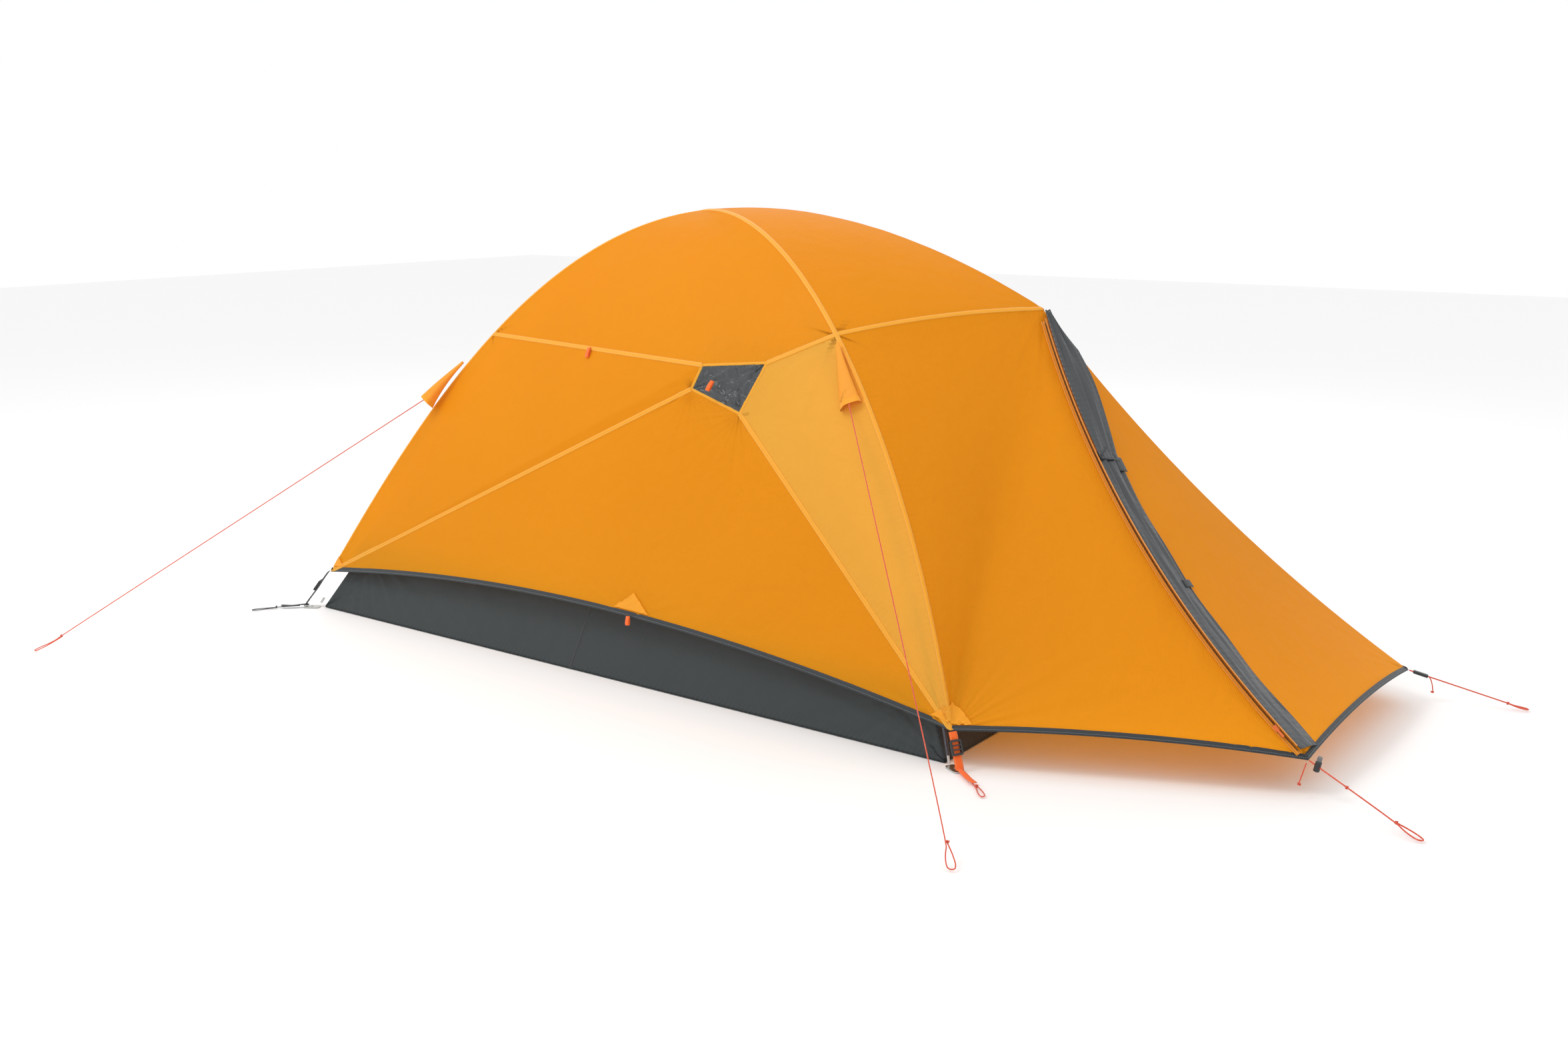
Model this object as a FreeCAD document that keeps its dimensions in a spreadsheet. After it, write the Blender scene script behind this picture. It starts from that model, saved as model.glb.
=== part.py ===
# A two-person mountain tent, pitched: two crossing poles and a brow pole, an inner tent with a
# bathtub floor, a fly with a front vestibule, and the straps, buckles and cords that hold it.
# Frame: millimetres, +X towards the vestibule, +Y the tent's right side, +Z up, and the origin
# on the ground at the middle of the floor.
import os
import math
import FreeCAD
import Part
from FreeCAD import Placement, Rotation, Vector

doc = FreeCAD.newDocument("tent")
sheet = doc.addObject("Spreadsheet::Sheet", "Dimensions")

DIMENSIONS = {
    "floor_length": 2110, "floor_rear_width": 1090, "floor_front_width": 1270,
    "peak_height": 1140, "crossing_back": 80,
    "pole_diameter": 9, "pole_bore": 7.4, "sleeve_diameter": 10.4, "sleeve_length": 56,
    "tip_diameter": 6, "tip_length": 18, "pole_inset": 32, "pole_step": 11, "brow_inset": 16,
    "fabric": 1.5, "webbing": 1.6, "webbing_width": 20,
    "foot_width": 26, "foot_length": 46, "foot_thick": 2.4, "grommet_bore": 7,
    "lock_width": 27, "lock_length": 34, "lock_thick": 4.5, "lock_bar": 4, "lock_slot": 8,
    "clip_ring": 7.8, "clip_thick": 2.2, "cord": 2.6, "thick_cord": 3.2,
    "hub_diameter": 18, "hub_grip": 3,
    "cone_mouth": 15, "cone_root": 4, "cone_wall": 1.2,
    "barrel_diameter": 13, "barrel_length": 20, "barrel_bore": 5.2,
    "button_diameter": 10, "button_length": 7, "button_gap": 4.5,
    "tensioner_width": 11, "tensioner_length": 34, "tensioner_thick": 6.4, "tensioner_bore": 4.6,
    "door_low_width": 760, "door_top_width": 560, "door_margin": 26, "door_gap": 5,
    "strut_diameter": 5, "zip_tape": 13, "tape_lift": 3.4, "zip_slider_length": 13,
    "zip_slider_width": 9, "zip_slider_thick": 4, "pull_length": 24, "knot": 7.5,
}
for row, (alias, value) in enumerate(DIMENSIONS.items(), start=1):
    sheet.set("A%d" % row, alias)
    sheet.set("B%d" % row, str(value))
    sheet.setAlias("B%d" % row, alias)
doc.recompute()

SIDES = {"left": -1, "right": 1}
BODY_MIDDLE = Vector(150, 0, 350)
nodes = []


def size(alias):
    return float(getattr(sheet, alias))


def point(x, y, z):
    return Vector(x, y, z)


def keep(item, label):
    """Give a finished sub-part its name and list it as a node."""
    item.Label = label
    nodes.append(item)
    return item


def feature(label, shape):
    item = doc.addObject("Part::Feature", label)
    item.Shape = shape
    return keep(item, label)


def bind(item, **formulas):
    """Tie an object's sizes to the spreadsheet; a formula names cells as {alias}."""
    for name, formula in formulas.items():
        item.setExpression(name, formula.replace("{", "Dimensions.").replace("}", ""))
    return item


def trapezoid(name, low_width, top_width, length, thickness, start="0"):
    """A flat sheet: low_width wide at its start and top_width wide at its end, along its own Y."""
    low, high = "(" + low_width + ") / 2", "(" + top_width + ") / 2"
    item = doc.addObject("Part::Wedge", name)
    return bind(item, Xmin="-" + low, Xmax=low, X2min="-" + high, X2max=high,
                Ymin=start, Ymax=start + " + " + length,
                Zmin="0", Zmax=thickness, Z2min="0", Z2max=thickness)


def mirrored(vector):
    return Vector(vector.x, -vector.y, vector.z)


def lerp(a, b, ratio):
    return a + (b - a) * ratio


def bezier(a, b, c, d, t):
    return (a * (1 - t) ** 3 + b * (3 * t * (1 - t) ** 2) + c * (3 * t * t * (1 - t)) + d * t ** 3)


# ------------------------------------------------------------------ the shape that all follow
HALF = size("floor_length") / 2
REAR_Y = size("floor_rear_width") / 2
FRONT_Y = size("floor_front_width") / 2
TOP = size("peak_height")
CROSSING = point(-size("crossing_back"), 0, 0)
FLOOR_REAR = point(-HALF, -REAR_Y, 0)
FLOOR_FRONT = point(HALF, -FRONT_Y, 0)

# A leg of a main pole, as (distance from the crossing, height) control points of one curve.
REAR_LEG = [(-80, TOP), (470, TOP), (870, 466), (1160, 0)]
FRONT_LEG = [(80, TOP), (665, TOP), (1190, 600), (1345, 0)]
INNER_REAR_LEG = [(-80, TOP - 75), (420, TOP - 75), (790, 440), (1117, 0)]
INNER_FRONT_LEG = [(80, TOP - 75), (600, TOP - 75), (1080, 520), (1300, 0)]


def leg_point(controls, corner, t, inset=0.0):
    """A point on a left leg's curve; inset moves it in, square to the curve, in its plane."""
    flat = [Vector(along, height, 0) for along, height in controls]
    spot = bezier(*flat, t)
    ahead = bezier(*flat, min(t + 0.01, 1.0)) - bezier(*flat, max(t - 0.01, 0.0))
    normal = Vector(ahead.y, -ahead.x, 0).normalize()
    spot = spot + normal * inset
    heading = (corner - CROSSING).normalize()
    return CROSSING + heading * spot.x + Vector(0, 0, spot.y)


def rear_ridge(t):
    return leg_point(REAR_LEG, FLOOR_REAR, t)


def front_ridge(t):
    return leg_point(FRONT_LEG, FLOOR_FRONT, t)


# How far down its leg, from 0 at the top to 1 at the foot, each landmark of the fly lies.
REAR_CORNER_T = 0.925
FRONT_CORNER_T = 0.955
REAR_SEAM_T = 0.46
BROW_T = 0.435
REAR_TOP_T = 0.05
FRONT_TOP_T = -0.043
FLY_REAR = rear_ridge(REAR_CORNER_T)
FLY_FRONT = front_ridge(FRONT_CORNER_T)
SEAM_TOP = rear_ridge(REAR_SEAM_T)
BROW_CROSS = front_ridge(BROW_T)
BROW_PEAK = point(939, 0, 922)
GUSSET = [point(216, -432, 722), point(246, -426, 782), point(437, -424, 800), point(372, -446, 676)]
STAKE_CORNER = point(1748, -374, 76)
ZIP_MIDDLE = point(1250, -196, 506)
FRONT_SAG = point(1290, -162, 494)


def arc_between(a, middle, b):
    """The circular arc through three points, as a function of 0 to 1."""
    curve = Part.Arc(a, middle, b)
    return lambda t: curve.value(curve.FirstParameter + t * (curve.LastParameter - curve.FirstParameter))


def line_between(a, b):
    return lambda t: lerp(a, b, t)


def along(points):
    """A run through a few points, as a function of 0 to 1, at an even pace."""
    lengths = [(b - a).Length for a, b in zip(points, points[1:])]

    def at(t):
        left = t * sum(lengths)
        for a, b, length in zip(points, points[1:], lengths):
            if left <= length or b is points[-1]:
                return lerp(a, b, min(left / length, 1.0))
            left -= length
    return at


def sagging(a, b, rise):
    """A hem cut in a hollow curve: straight in plan, and raised by rise at its middle."""
    return lambda t: lerp(a, b, t) + Vector(0, 0, 4 * rise * t * (1 - t))


def brow_arch(t):
    """The brow ridge, from the left crossing (0) over the peak (0.5) to the right one (1)."""
    cross = BROW_CROSS if t < 0.5 else mirrored(BROW_CROSS)
    share = abs(t - 0.5) * 2
    bulge = Vector(0.5, 0, 0.87) * (16 * 4 * share * (1 - share))
    return lerp(BROW_PEAK, cross, share) + bulge


# ------------------------------------------------------------------ soft sheets
def three_sided(left, right, end, rows=6, columns=6, start=0.05):
    """A grid of points that fans out from the point where left and right begin."""
    grid = []
    for row in range(rows + 1):
        v = start + (1 - start) * row / rows
        line = []
        for column in range(columns + 1):
            u = column / columns
            bend = end(u) - lerp(end(0), end(1), u)
            line.append(lerp(left(v), right(v), u) + bend * v)
        grid.append(line)
    return grid


def four_sided(top, bottom, left, right, rows=5, columns=6):
    """A grid of points between four edges; left and right run from top to bottom."""
    grid = []
    for row in range(rows + 1):
        v = row / rows
        line = []
        for column in range(columns + 1):
            u = column / columns
            ruled = lerp(top(u), bottom(u), v) + lerp(left(v), right(v), u)
            corners = lerp(lerp(top(0), top(1), u), lerp(bottom(0), bottom(1), u), v)
            line.append(ruled - corners)
        grid.append(line)
    return grid


def grid_normal(grid, row, column):
    above = grid[max(row - 1, 0)][column]
    below = grid[min(row + 1, len(grid) - 1)][column]
    before = grid[row][max(column - 1, 0)]
    after = grid[row][min(column + 1, len(grid[0]) - 1)]
    return (below - above).cross(after - before).normalize()


def facet(a, b, c):
    return Part.Face(Part.makePolygon([a, b, c, a]))


def sheet_solid(grid, thickness, inside=BODY_MIDDLE):
    """A closed solid of flat facets: the grid is its outer face, and it thickens inwards."""
    rows, columns = len(grid), len(grid[0])
    middle = grid[rows // 2][columns // 2]
    facing = grid_normal(grid, rows // 2, columns // 2)
    sign = 1 if facing.dot(inside - middle) > 0 else -1
    under = []
    for row in range(rows):
        under.append([grid[row][column] + grid_normal(grid, row, column) * (sign * thickness)
                      for column in range(columns)])
    faces = []
    for row in range(rows - 1):
        for column in range(columns - 1):
            for layer in (grid, under):
                a, b = layer[row][column], layer[row][column + 1]
                c, d = layer[row + 1][column + 1], layer[row + 1][column]
                faces += [facet(a, b, c), facet(a, c, d)]
    rim = [(row, 0) for row in range(rows)]
    rim += [(rows - 1, column) for column in range(1, columns)]
    rim += [(row, columns - 1) for row in range(rows - 2, -1, -1)]
    rim += [(0, column) for column in range(columns - 2, 0, -1)]
    for (row, column), (next_row, next_column) in zip(rim, rim[1:] + rim[:1]):
        a, b = grid[row][column], grid[next_row][next_column]
        c, d = under[next_row][next_column], under[row][column]
        faces += [facet(a, b, c), facet(a, c, d)]
    solid = Part.Solid(Part.Shell(faces))
    if solid.Volume < 0:
        solid.reverse()
    return solid


def mirror_grid(grid):
    return [[mirrored(spot) for spot in row] for row in grid]


def soft(label, grid, thickness="fabric"):
    return feature(label, sheet_solid(grid, size(thickness)))


def both_sides(label, grid, thickness="fabric"):
    soft(label + "_left", grid, thickness)
    soft(label + "_right", mirror_grid(grid), thickness)


# ------------------------------------------------------------------ the fly
def span(curve, first, last):
    """The stretch of a leg's curve between two places, as a function of 0 to 1."""
    return lambda t: curve(first + (last - first) * t)


SEAM_GAP = 3


def inset_grid(grid, gap=SEAM_GAP):
    """Draw a sheet's rim in a little, so that it stays clear of the sheets sewn to it."""
    middle = grid[len(grid) // 2][len(grid[0]) // 2]
    small = [list(row) for row in grid]
    last_row, last_column = len(grid) - 1, len(grid[0]) - 1
    for row in range(last_row + 1):
        for column in range(last_column + 1):
            if row in (0, last_row) or column in (0, last_column):
                spot = grid[row][column]
                small[row][column] = spot + (middle - spot).normalize() * gap
    return small


SIDE_HEM = sagging(FLY_REAR, FLY_FRONT, 82)
both_sides("fly_side", inset_grid(four_sided(
    line_between(GUSSET[0], GUSSET[3]), SIDE_HEM,
    line_between(GUSSET[0], FLY_REAR), line_between(GUSSET[3], FLY_FRONT))))
both_sides("fly_rear_side", inset_grid(three_sided(
    span(rear_ridge, REAR_CORNER_T, REAR_SEAM_T), line_between(FLY_REAR, GUSSET[0]),
    along([SEAM_TOP, GUSSET[1], GUSSET[0]]))))
both_sides("fly_roof", inset_grid(three_sided(
    span(rear_ridge, REAR_TOP_T, REAR_SEAM_T), span(front_ridge, FRONT_TOP_T, BROW_T),
    along([SEAM_TOP, GUSSET[1], GUSSET[2], BROW_CROSS]))))
both_sides("fly_gore", inset_grid(three_sided(
    line_between(FLY_FRONT, GUSSET[3]), span(front_ridge, FRONT_CORNER_T, BROW_T),
    along([GUSSET[3], GUSSET[2], BROW_CROSS]))))
gusset = inset_grid(four_sided(
    line_between(GUSSET[1], GUSSET[2]), line_between(GUSSET[0], GUSSET[3]),
    line_between(GUSSET[1], GUSSET[0]), line_between(GUSSET[2], GUSSET[3]), 3, 4))
feature("fly_gussets", Part.makeCompound([sheet_solid(gusset, size("fabric")),
                                          sheet_solid(mirror_grid(gusset), size("fabric"))]))
soft("fly_roof_front", inset_grid(three_sided(
    span(front_ridge, FRONT_TOP_T, BROW_T),
    lambda t: mirrored(front_ridge(FRONT_TOP_T + (BROW_T - FRONT_TOP_T) * t)),
    brow_arch)))
REAR_HEM = sagging(FLY_REAR, mirrored(FLY_REAR), 70)
REAR_SPLIT_T = 0.5
rear_top = inset_grid(three_sided(
    span(rear_ridge, REAR_TOP_T, REAR_SPLIT_T),
    lambda t: mirrored(rear_ridge(REAR_TOP_T + (REAR_SPLIT_T - REAR_TOP_T) * t)),
    line_between(rear_ridge(REAR_SPLIT_T), mirrored(rear_ridge(REAR_SPLIT_T)))))
rear_low = inset_grid(four_sided(
    line_between(rear_ridge(REAR_SPLIT_T), mirrored(rear_ridge(REAR_SPLIT_T))), REAR_HEM,
    span(rear_ridge, REAR_SPLIT_T, REAR_CORNER_T),
    lambda t: mirrored(rear_ridge(REAR_SPLIT_T + (REAR_CORNER_T - REAR_SPLIT_T) * t))))
feature("fly_rear_wall", Part.makeCompound([sheet_solid(rear_top, size("fabric")),
                                            sheet_solid(rear_low, size("fabric"))]))


def half_brow(t):
    return brow_arch(t / 2)


ZIP_CURVE = arc_between(BROW_PEAK, ZIP_MIDDLE, STAKE_CORNER)
RIGHT_CURVE = arc_between(BROW_PEAK, mirrored(FRONT_SAG), mirrored(STAKE_CORNER))
DOOR_HEM = sagging(FLY_FRONT, STAKE_CORNER, 14)
soft("vestibule_shoulder", inset_grid(three_sided(
    span(front_ridge, FRONT_CORNER_T, BROW_T), line_between(FLY_FRONT, BROW_PEAK), half_brow), 5))
soft("vestibule_door", inset_grid(three_sided(
    line_between(FLY_FRONT, BROW_PEAK), DOOR_HEM, ZIP_CURVE), 7))
STAKE_HEM = sagging(STAKE_CORNER, mirrored(STAKE_CORNER), 22)
soft("vestibule_front", inset_grid(three_sided(ZIP_CURVE, RIGHT_CURVE, STAKE_HEM, 12), 7))
soft("vestibule_side_right", inset_grid(three_sided(
    lambda t: mirrored(FLY_FRONT) + (BROW_PEAK - mirrored(FLY_FRONT)) * t,
    sagging(mirrored(FLY_FRONT), mirrored(STAKE_CORNER), 14), RIGHT_CURVE)))
soft("vestibule_shoulder_right", inset_grid(mirror_grid(three_sided(
    span(front_ridge, FRONT_CORNER_T, BROW_T), line_between(FLY_FRONT, BROW_PEAK), half_brow, 5))))


def hem_tape(curve, inwards, start=0.02, end=0.98, count=12, width=15):
    """A folded tape over a hem: a strip just outside the cloth, as deep as width."""
    grid = []
    for step in range(count + 1):
        spot = curve(start + (end - start) * step / count) - inwards * 2.5
        grid.append([spot, spot + Vector(0, 0, width) + inwards * 4])
    return sheet_solid(grid, size("fabric"))


LEFT_IN = Vector(0, 1, 0)
REAR_IN = Vector(1, 0, 0)
feature("fly_hem_tapes", Part.makeCompound([
    hem_tape(SIDE_HEM, LEFT_IN),
    hem_tape(lambda t: mirrored(SIDE_HEM(t)), LEFT_IN * -1),
    hem_tape(REAR_HEM, REAR_IN),
    hem_tape(STAKE_HEM, REAR_IN * -1, 0.04),
    hem_tape(lambda t: mirrored(DOOR_HEM(t)), LEFT_IN * -1)]))
feature("vestibule_door_hem_tape", hem_tape(DOOR_HEM, LEFT_IN, 0.06, 0.97))

# ------------------------------------------------------------------ poles
REAR_POLE_T = 0.972
FRONT_POLE_T = 0.984
FOOT_EASE = 0.42
MAIN_SECTIONS = 9
BROW_SECTIONS = 5
BROW_TIP = point(330, -404, 728)
BROW_BEND = point(462, -390, 798)


def pole_path(inset):
    """The centre line of the pole from the rear left foot to the front right foot."""
    steps = 10

    def on_leg(controls, corner, t):
        """The inset shrinks towards the foot, where the pole's tip meets its grommet."""
        return leg_point(controls, corner, t, inset * (1 - FOOT_EASE * t ** 4))

    rear = [on_leg(REAR_LEG, FLOOR_REAR, REAR_POLE_T * (1 - step / steps)) for step in range(steps)]
    front = [mirrored(on_leg(FRONT_LEG, FLOOR_FRONT, FRONT_POLE_T * step / steps))
             for step in range(steps + 1)]
    return smooth(rear + front)


def smooth(points):
    curve = Part.BSplineCurve()
    curve.interpolate(points)
    return curve


def brow_path():
    half = [BROW_TIP, BROW_BEND]
    for t in (0.0, 0.12, 0.25, 0.38):
        spot = brow_arch(t)
        half.append(spot + (Vector(500, 0, 480) - spot).normalize() * size("brow_inset"))
    peak = BROW_PEAK + Vector(-26, 0, -18)
    return smooth(half + [peak] + [mirrored(spot) for spot in reversed(half)])


class Pole:
    """A pole's centre line, measured along its length."""

    def __init__(self, curve):
        self.curve = curve
        self.edge = curve.toShape()
        self.length = self.edge.Length

    def at(self, distance):
        return self.edge.valueAt(self.edge.getParameterByLength(distance))

    def direction(self, distance):
        return self.edge.tangentAt(self.edge.getParameterByLength(distance))

    def tube(self, start, end, diameter, bore=0.0):
        """A round tube along the pole between two distances."""
        count = 5
        spots = [self.at(start + (end - start) * step / count) for step in range(count + 1)]
        wire = Part.Wire(smooth(spots).toShape())
        solid = self.sweep(wire, spots[0], self.direction(start), diameter / 2)
        if bore:
            solid = solid.cut(self.sweep(wire, spots[0], self.direction(start), bore / 2))
        return solid

    @staticmethod
    def sweep(wire, start, direction, radius):
        ring = Part.Wire(Part.makeCircle(radius, start, direction))
        return wire.makePipeShell([ring], True, False)


def section_solids(pole, count):
    step = pole.length / count
    return [pole.tube(step * number, step * (number + 1), size("pole_diameter"), size("pole_bore"))
            for number in range(count)]


def sleeve_solids(pole, count):
    step = pole.length / count
    half = size("sleeve_length") / 2
    fit = size("pole_diameter") + 0.1
    return [pole.tube(step * number - half, step * number + half, size("sleeve_diameter"), fit)
            for number in range(1, count)]


def tip_solids(pole):
    length, radius = size("tip_length"), size("tip_diameter") / 2
    tips = []
    for distance, sense in ((0, -1), (pole.length, 1)):
        tips.append(Part.makeCylinder(radius, length, pole.at(distance), pole.direction(distance) * sense))
    return tips


left_pole = Pole(pole_path(size("pole_inset")))
right_curve = pole_path(size("pole_inset") + size("pole_step"))
right_pole = Pole(smooth([mirrored(spot) for spot in right_curve.discretize(Number=21)]))
brow_pole = Pole(brow_path())
feature("main_pole_from_rear_left", Part.makeCompound(section_solids(left_pole, MAIN_SECTIONS)))
feature("main_pole_from_rear_right", Part.makeCompound(section_solids(right_pole, MAIN_SECTIONS)))
feature("brow_pole", Part.makeCompound(section_solids(brow_pole, BROW_SECTIONS)))
sleeves = sleeve_solids(left_pole, MAIN_SECTIONS) + sleeve_solids(right_pole, MAIN_SECTIONS)
feature("pole_sleeves", Part.makeCompound(sleeves + sleeve_solids(brow_pole, BROW_SECTIONS)))
feature("pole_tips", Part.makeCompound(
    tip_solids(left_pole) + tip_solids(right_pole) + tip_solids(brow_pole)))
for pole, label in ((left_pole, "left"), (right_pole, "right")):
    print("main pole from rear %s: length %.0f, ends at heights %.1f and %.1f"
          % (label, pole.length, pole.at(0).z, pole.at(pole.length).z))
print("brow pole: length %.0f" % brow_pole.length)


def nearest_distance(pole, spot):
    """How far along the pole the place nearest to a spot is."""
    steps = 400
    return min((pole.length * step / steps for step in range(steps + 1)),
               key=lambda distance: (pole.at(distance) - spot).Length)


def crossing_block(first, second, spot):
    """A moulded block between two poles that cross, with an open channel for each."""
    one = first.at(nearest_distance(first, spot))
    two = second.at(nearest_distance(second, spot))
    middle = (one + two) * 0.5
    axis = (one - two).normalize()
    height = (one - two).Length + 2 * size("hub_grip")
    block = Part.makeCylinder(size("hub_diameter") / 2, height, middle - axis * (height / 2), axis)
    fit = size("sleeve_diameter") + 0.4
    for pole in (first, second):
        at = nearest_distance(pole, middle)
        block = block.cut(pole.tube(at - 30, at + 30, fit))
    return block


apex_block = crossing_block(left_pole, right_pole, CROSSING + Vector(0, 0, TOP - size("pole_inset")))
left_block = crossing_block(right_pole, brow_pole, BROW_CROSS)
right_block = crossing_block(left_pole, brow_pole, mirrored(BROW_CROSS))
feature("pole_crossing_clips", Part.makeCompound([apex_block, left_block, right_block]))

# ------------------------------------------------------------------ inner tent
INNER_TOP_T = 0.03
INNER_WALL_REAR_T = 0.86
INNER_WALL_FRONT_T = 0.905
INNER_DOOR_TOP_T = 0.5


def inner_rear(t):
    return leg_point(INNER_REAR_LEG, FLOOR_REAR, t)


def inner_front(t):
    return leg_point(INNER_FRONT_LEG, FLOOR_FRONT, t)


WALL_REAR = inner_rear(INNER_WALL_REAR_T)
WALL_FRONT = inner_front(INNER_WALL_FRONT_T)
DOOR_TOP = inner_front(INNER_DOOR_TOP_T)
print("bathtub wall tops at heights %.0f and %.0f" % (WALL_REAR.z, WALL_FRONT.z))
LIFT = Vector(0, 0, 3)

floor = trapezoid("FloorSheet", "{floor_rear_width} - 8", "{floor_front_width} - 8",
                  "{floor_length} - 8", "{fabric}", "4 - {floor_length} / 2")
floor.Placement = Placement(Vector(0, 0, 0), Rotation(Vector(0, 0, 1), -90))
keep(floor, "floor_sheet")
side_wall = inset_grid(four_sided(
    line_between(WALL_REAR, WALL_FRONT), line_between(FLOOR_REAR + LIFT, FLOOR_FRONT + LIFT),
    line_between(WALL_REAR, FLOOR_REAR + LIFT), line_between(WALL_FRONT, FLOOR_FRONT + LIFT), 3, 6))
walls = [sheet_solid(side_wall, size("fabric")), sheet_solid(mirror_grid(side_wall), size("fabric"))]
for top, foot in ((WALL_REAR, FLOOR_REAR + LIFT), (WALL_FRONT, FLOOR_FRONT + LIFT)):
    walls.append(sheet_solid(inset_grid(four_sided(
        line_between(top, mirrored(top)), line_between(foot, mirrored(foot)),
        line_between(top, foot), line_between(mirrored(top), mirrored(foot)), 3, 6)), size("fabric")))
feature("bathtub_walls", Part.makeCompound(walls))
both_sides("inner_side", inset_grid(three_sided(
    span(inner_rear, INNER_TOP_T, INNER_WALL_REAR_T), span(inner_front, INNER_TOP_T, INNER_WALL_FRONT_T),
    line_between(WALL_REAR, WALL_FRONT), 8)))
soft("inner_rear", inset_grid(three_sided(
    span(inner_rear, INNER_TOP_T, INNER_WALL_REAR_T),
    lambda t: mirrored(inner_rear(INNER_TOP_T + (INNER_WALL_REAR_T - INNER_TOP_T) * t)),
    line_between(WALL_REAR, mirrored(WALL_REAR)), 8)))
soft("inner_roof_front", inset_grid(three_sided(
    span(inner_front, INNER_TOP_T, INNER_DOOR_TOP_T),
    lambda t: mirrored(inner_front(INNER_TOP_T + (INNER_DOOR_TOP_T - INNER_TOP_T) * t)),
    line_between(DOOR_TOP, mirrored(DOOR_TOP)))))

# The front wall is one flat sheet that leans back, with a doorway and a door that folds inwards.
wall_low = Vector(WALL_FRONT.x, 0, WALL_FRONT.z)
wall_top = Vector(DOOR_TOP.x, 0, DOOR_TOP.z)
wall_up = (wall_top - wall_low).normalize()
wall_out = Vector(0, 1, 0).cross(wall_up)
wall_place = Placement(wall_low, Rotation(Vector(0, 1, 0), wall_up, wall_out, "ZXY"))
sheet.set("C1", str(round((wall_top - wall_low).Length, 3)))
sheet.setAlias("C1", "front_wall_height")
sheet.set("C2", str(round(-2 * WALL_FRONT.y, 3)))
sheet.setAlias("C2", "front_wall_low_width")
sheet.set("C3", str(round(-2 * DOOR_TOP.y, 3)))
sheet.setAlias("C3", "front_wall_top_width")
doc.recompute()
wall_blank = trapezoid("FrontWallBlank", "{front_wall_low_width} - 8", "{front_wall_top_width} - 8",
                       "{front_wall_height} - 8", "{fabric}", "4")
doorway = trapezoid("Doorway", "{door_low_width}", "{door_top_width}",
                    "{front_wall_height} - 2 * {door_margin}", "{fabric} * 4", "{door_margin}")
doorway.Placement = Placement(Vector(0, 0, -size("fabric") * 2), Rotation())
front_wall = doc.addObject("Part::Cut", "FrontWall")
front_wall.Base = wall_blank
front_wall.Tool = doorway
front_wall.Placement = wall_place
keep(front_wall, "inner_front_wall")
door = trapezoid("Door", "{door_low_width} - 2 * {door_gap}", "{door_top_width} - 2 * {door_gap}",
                 "{front_wall_height} - 2 * {door_margin} - 2 * {door_gap}", "{fabric}",
                 "{door_margin} + {door_gap}")
door.Placement = wall_place
keep(door, "inner_door")
door_hinge = wall_low + wall_up * (size("door_margin") + size("door_gap") / 2)
print("inner door hinge at %.1f, %.1f, %.1f" % tuple(door_hinge))
print("inner front wall leans back %.1f degrees" % math.degrees(math.atan2(-wall_up.x, wall_up.z)))

# ------------------------------------------------------------------ clips, feet, straps, buckles
CLIP_PLACES = (0.16, 0.4, 0.62, 0.82)


def canopy_clip(pole, inner):
    """A plastic hook: a ring round the pole and a tail that reaches down to the inner tent."""
    at = nearest_distance(pole, inner)
    centre, tangent = pole.at(at), pole.direction(at)
    width = 6
    ring = Part.makeCylinder(size("clip_ring"), width, centre - tangent * (width / 2), tangent)
    reach = (inner - centre).Length - 4
    inward = (inner - centre).normalize()
    tail = Part.makeBox(size("clip_thick"), width, reach)
    tail.translate(Vector(-size("clip_thick") / 2, -width / 2, 0))
    tail.Placement = Placement(centre, Rotation(tangent.cross(inward), tangent, inward, "ZXY")).multiply(
        tail.Placement)
    bore = pole.tube(at - 12, at + 12, size("pole_diameter") + 0.3)
    return ring.fuse(tail).cut(bore)


clips = []
for place in CLIP_PLACES:
    clips.append(canopy_clip(left_pole, inner_rear(place)))
    clips.append(canopy_clip(right_pole, mirrored(inner_rear(place))))
    clips.append(canopy_clip(right_pole, inner_front(place)))
    clips.append(canopy_clip(left_pole, mirrored(inner_front(place))))
feature("canopy_clips", Part.makeCompound(clips))


def rectangle(body, name, width, length, shift=0.0):
    """A centred rectangle sketched on the body's own ground plane."""
    plane = [item for item in body.Origin.OriginFeatures if item.Role == "XY_Plane"][0]
    sketch = body.newObject("Sketcher::SketchObject", name)
    sketch.AttachmentSupport = (plane, [""])
    sketch.MapMode = "FlatFace"
    x, y = width / 2, length / 2
    corners = [(-x, shift - y), (x, shift - y), (x, shift + y), (-x, shift + y)]
    for (ax, ay), (bx, by) in zip(corners, corners[1:] + corners[:1]):
        sketch.addGeometry(Part.LineSegment(Vector(ax, ay, 0), Vector(bx, by, 0)))
    return sketch


def pad(body, name, sketch, alias):
    item = body.newObject("PartDesign::Pad", name)
    item.Profile = sketch
    sketch.Visibility = False
    return bind(item, Length="{" + alias + "}")


def pocket(body, name, sketch):
    item = body.newObject("PartDesign::Pocket", name)
    item.Profile = sketch
    item.Type = "ThroughAll"
    item.Midplane = True
    return item


def round_edges(body, name, base, radius):
    item = body.newObject("PartDesign::Fillet", name)
    upright = [number for number, edge in enumerate(base.Shape.Edges, start=1)
               if abs(edge.Vertexes[0].Z - edge.Vertexes[-1].Z) > 0.5 * base.Shape.BoundBox.ZLength
               and abs(abs(edge.Vertexes[0].X) - base.Shape.BoundBox.XMax) < 0.1]
    item.Base = (base, ["Edge%d" % number for number in upright])
    item.Radius = radius
    return item


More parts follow.
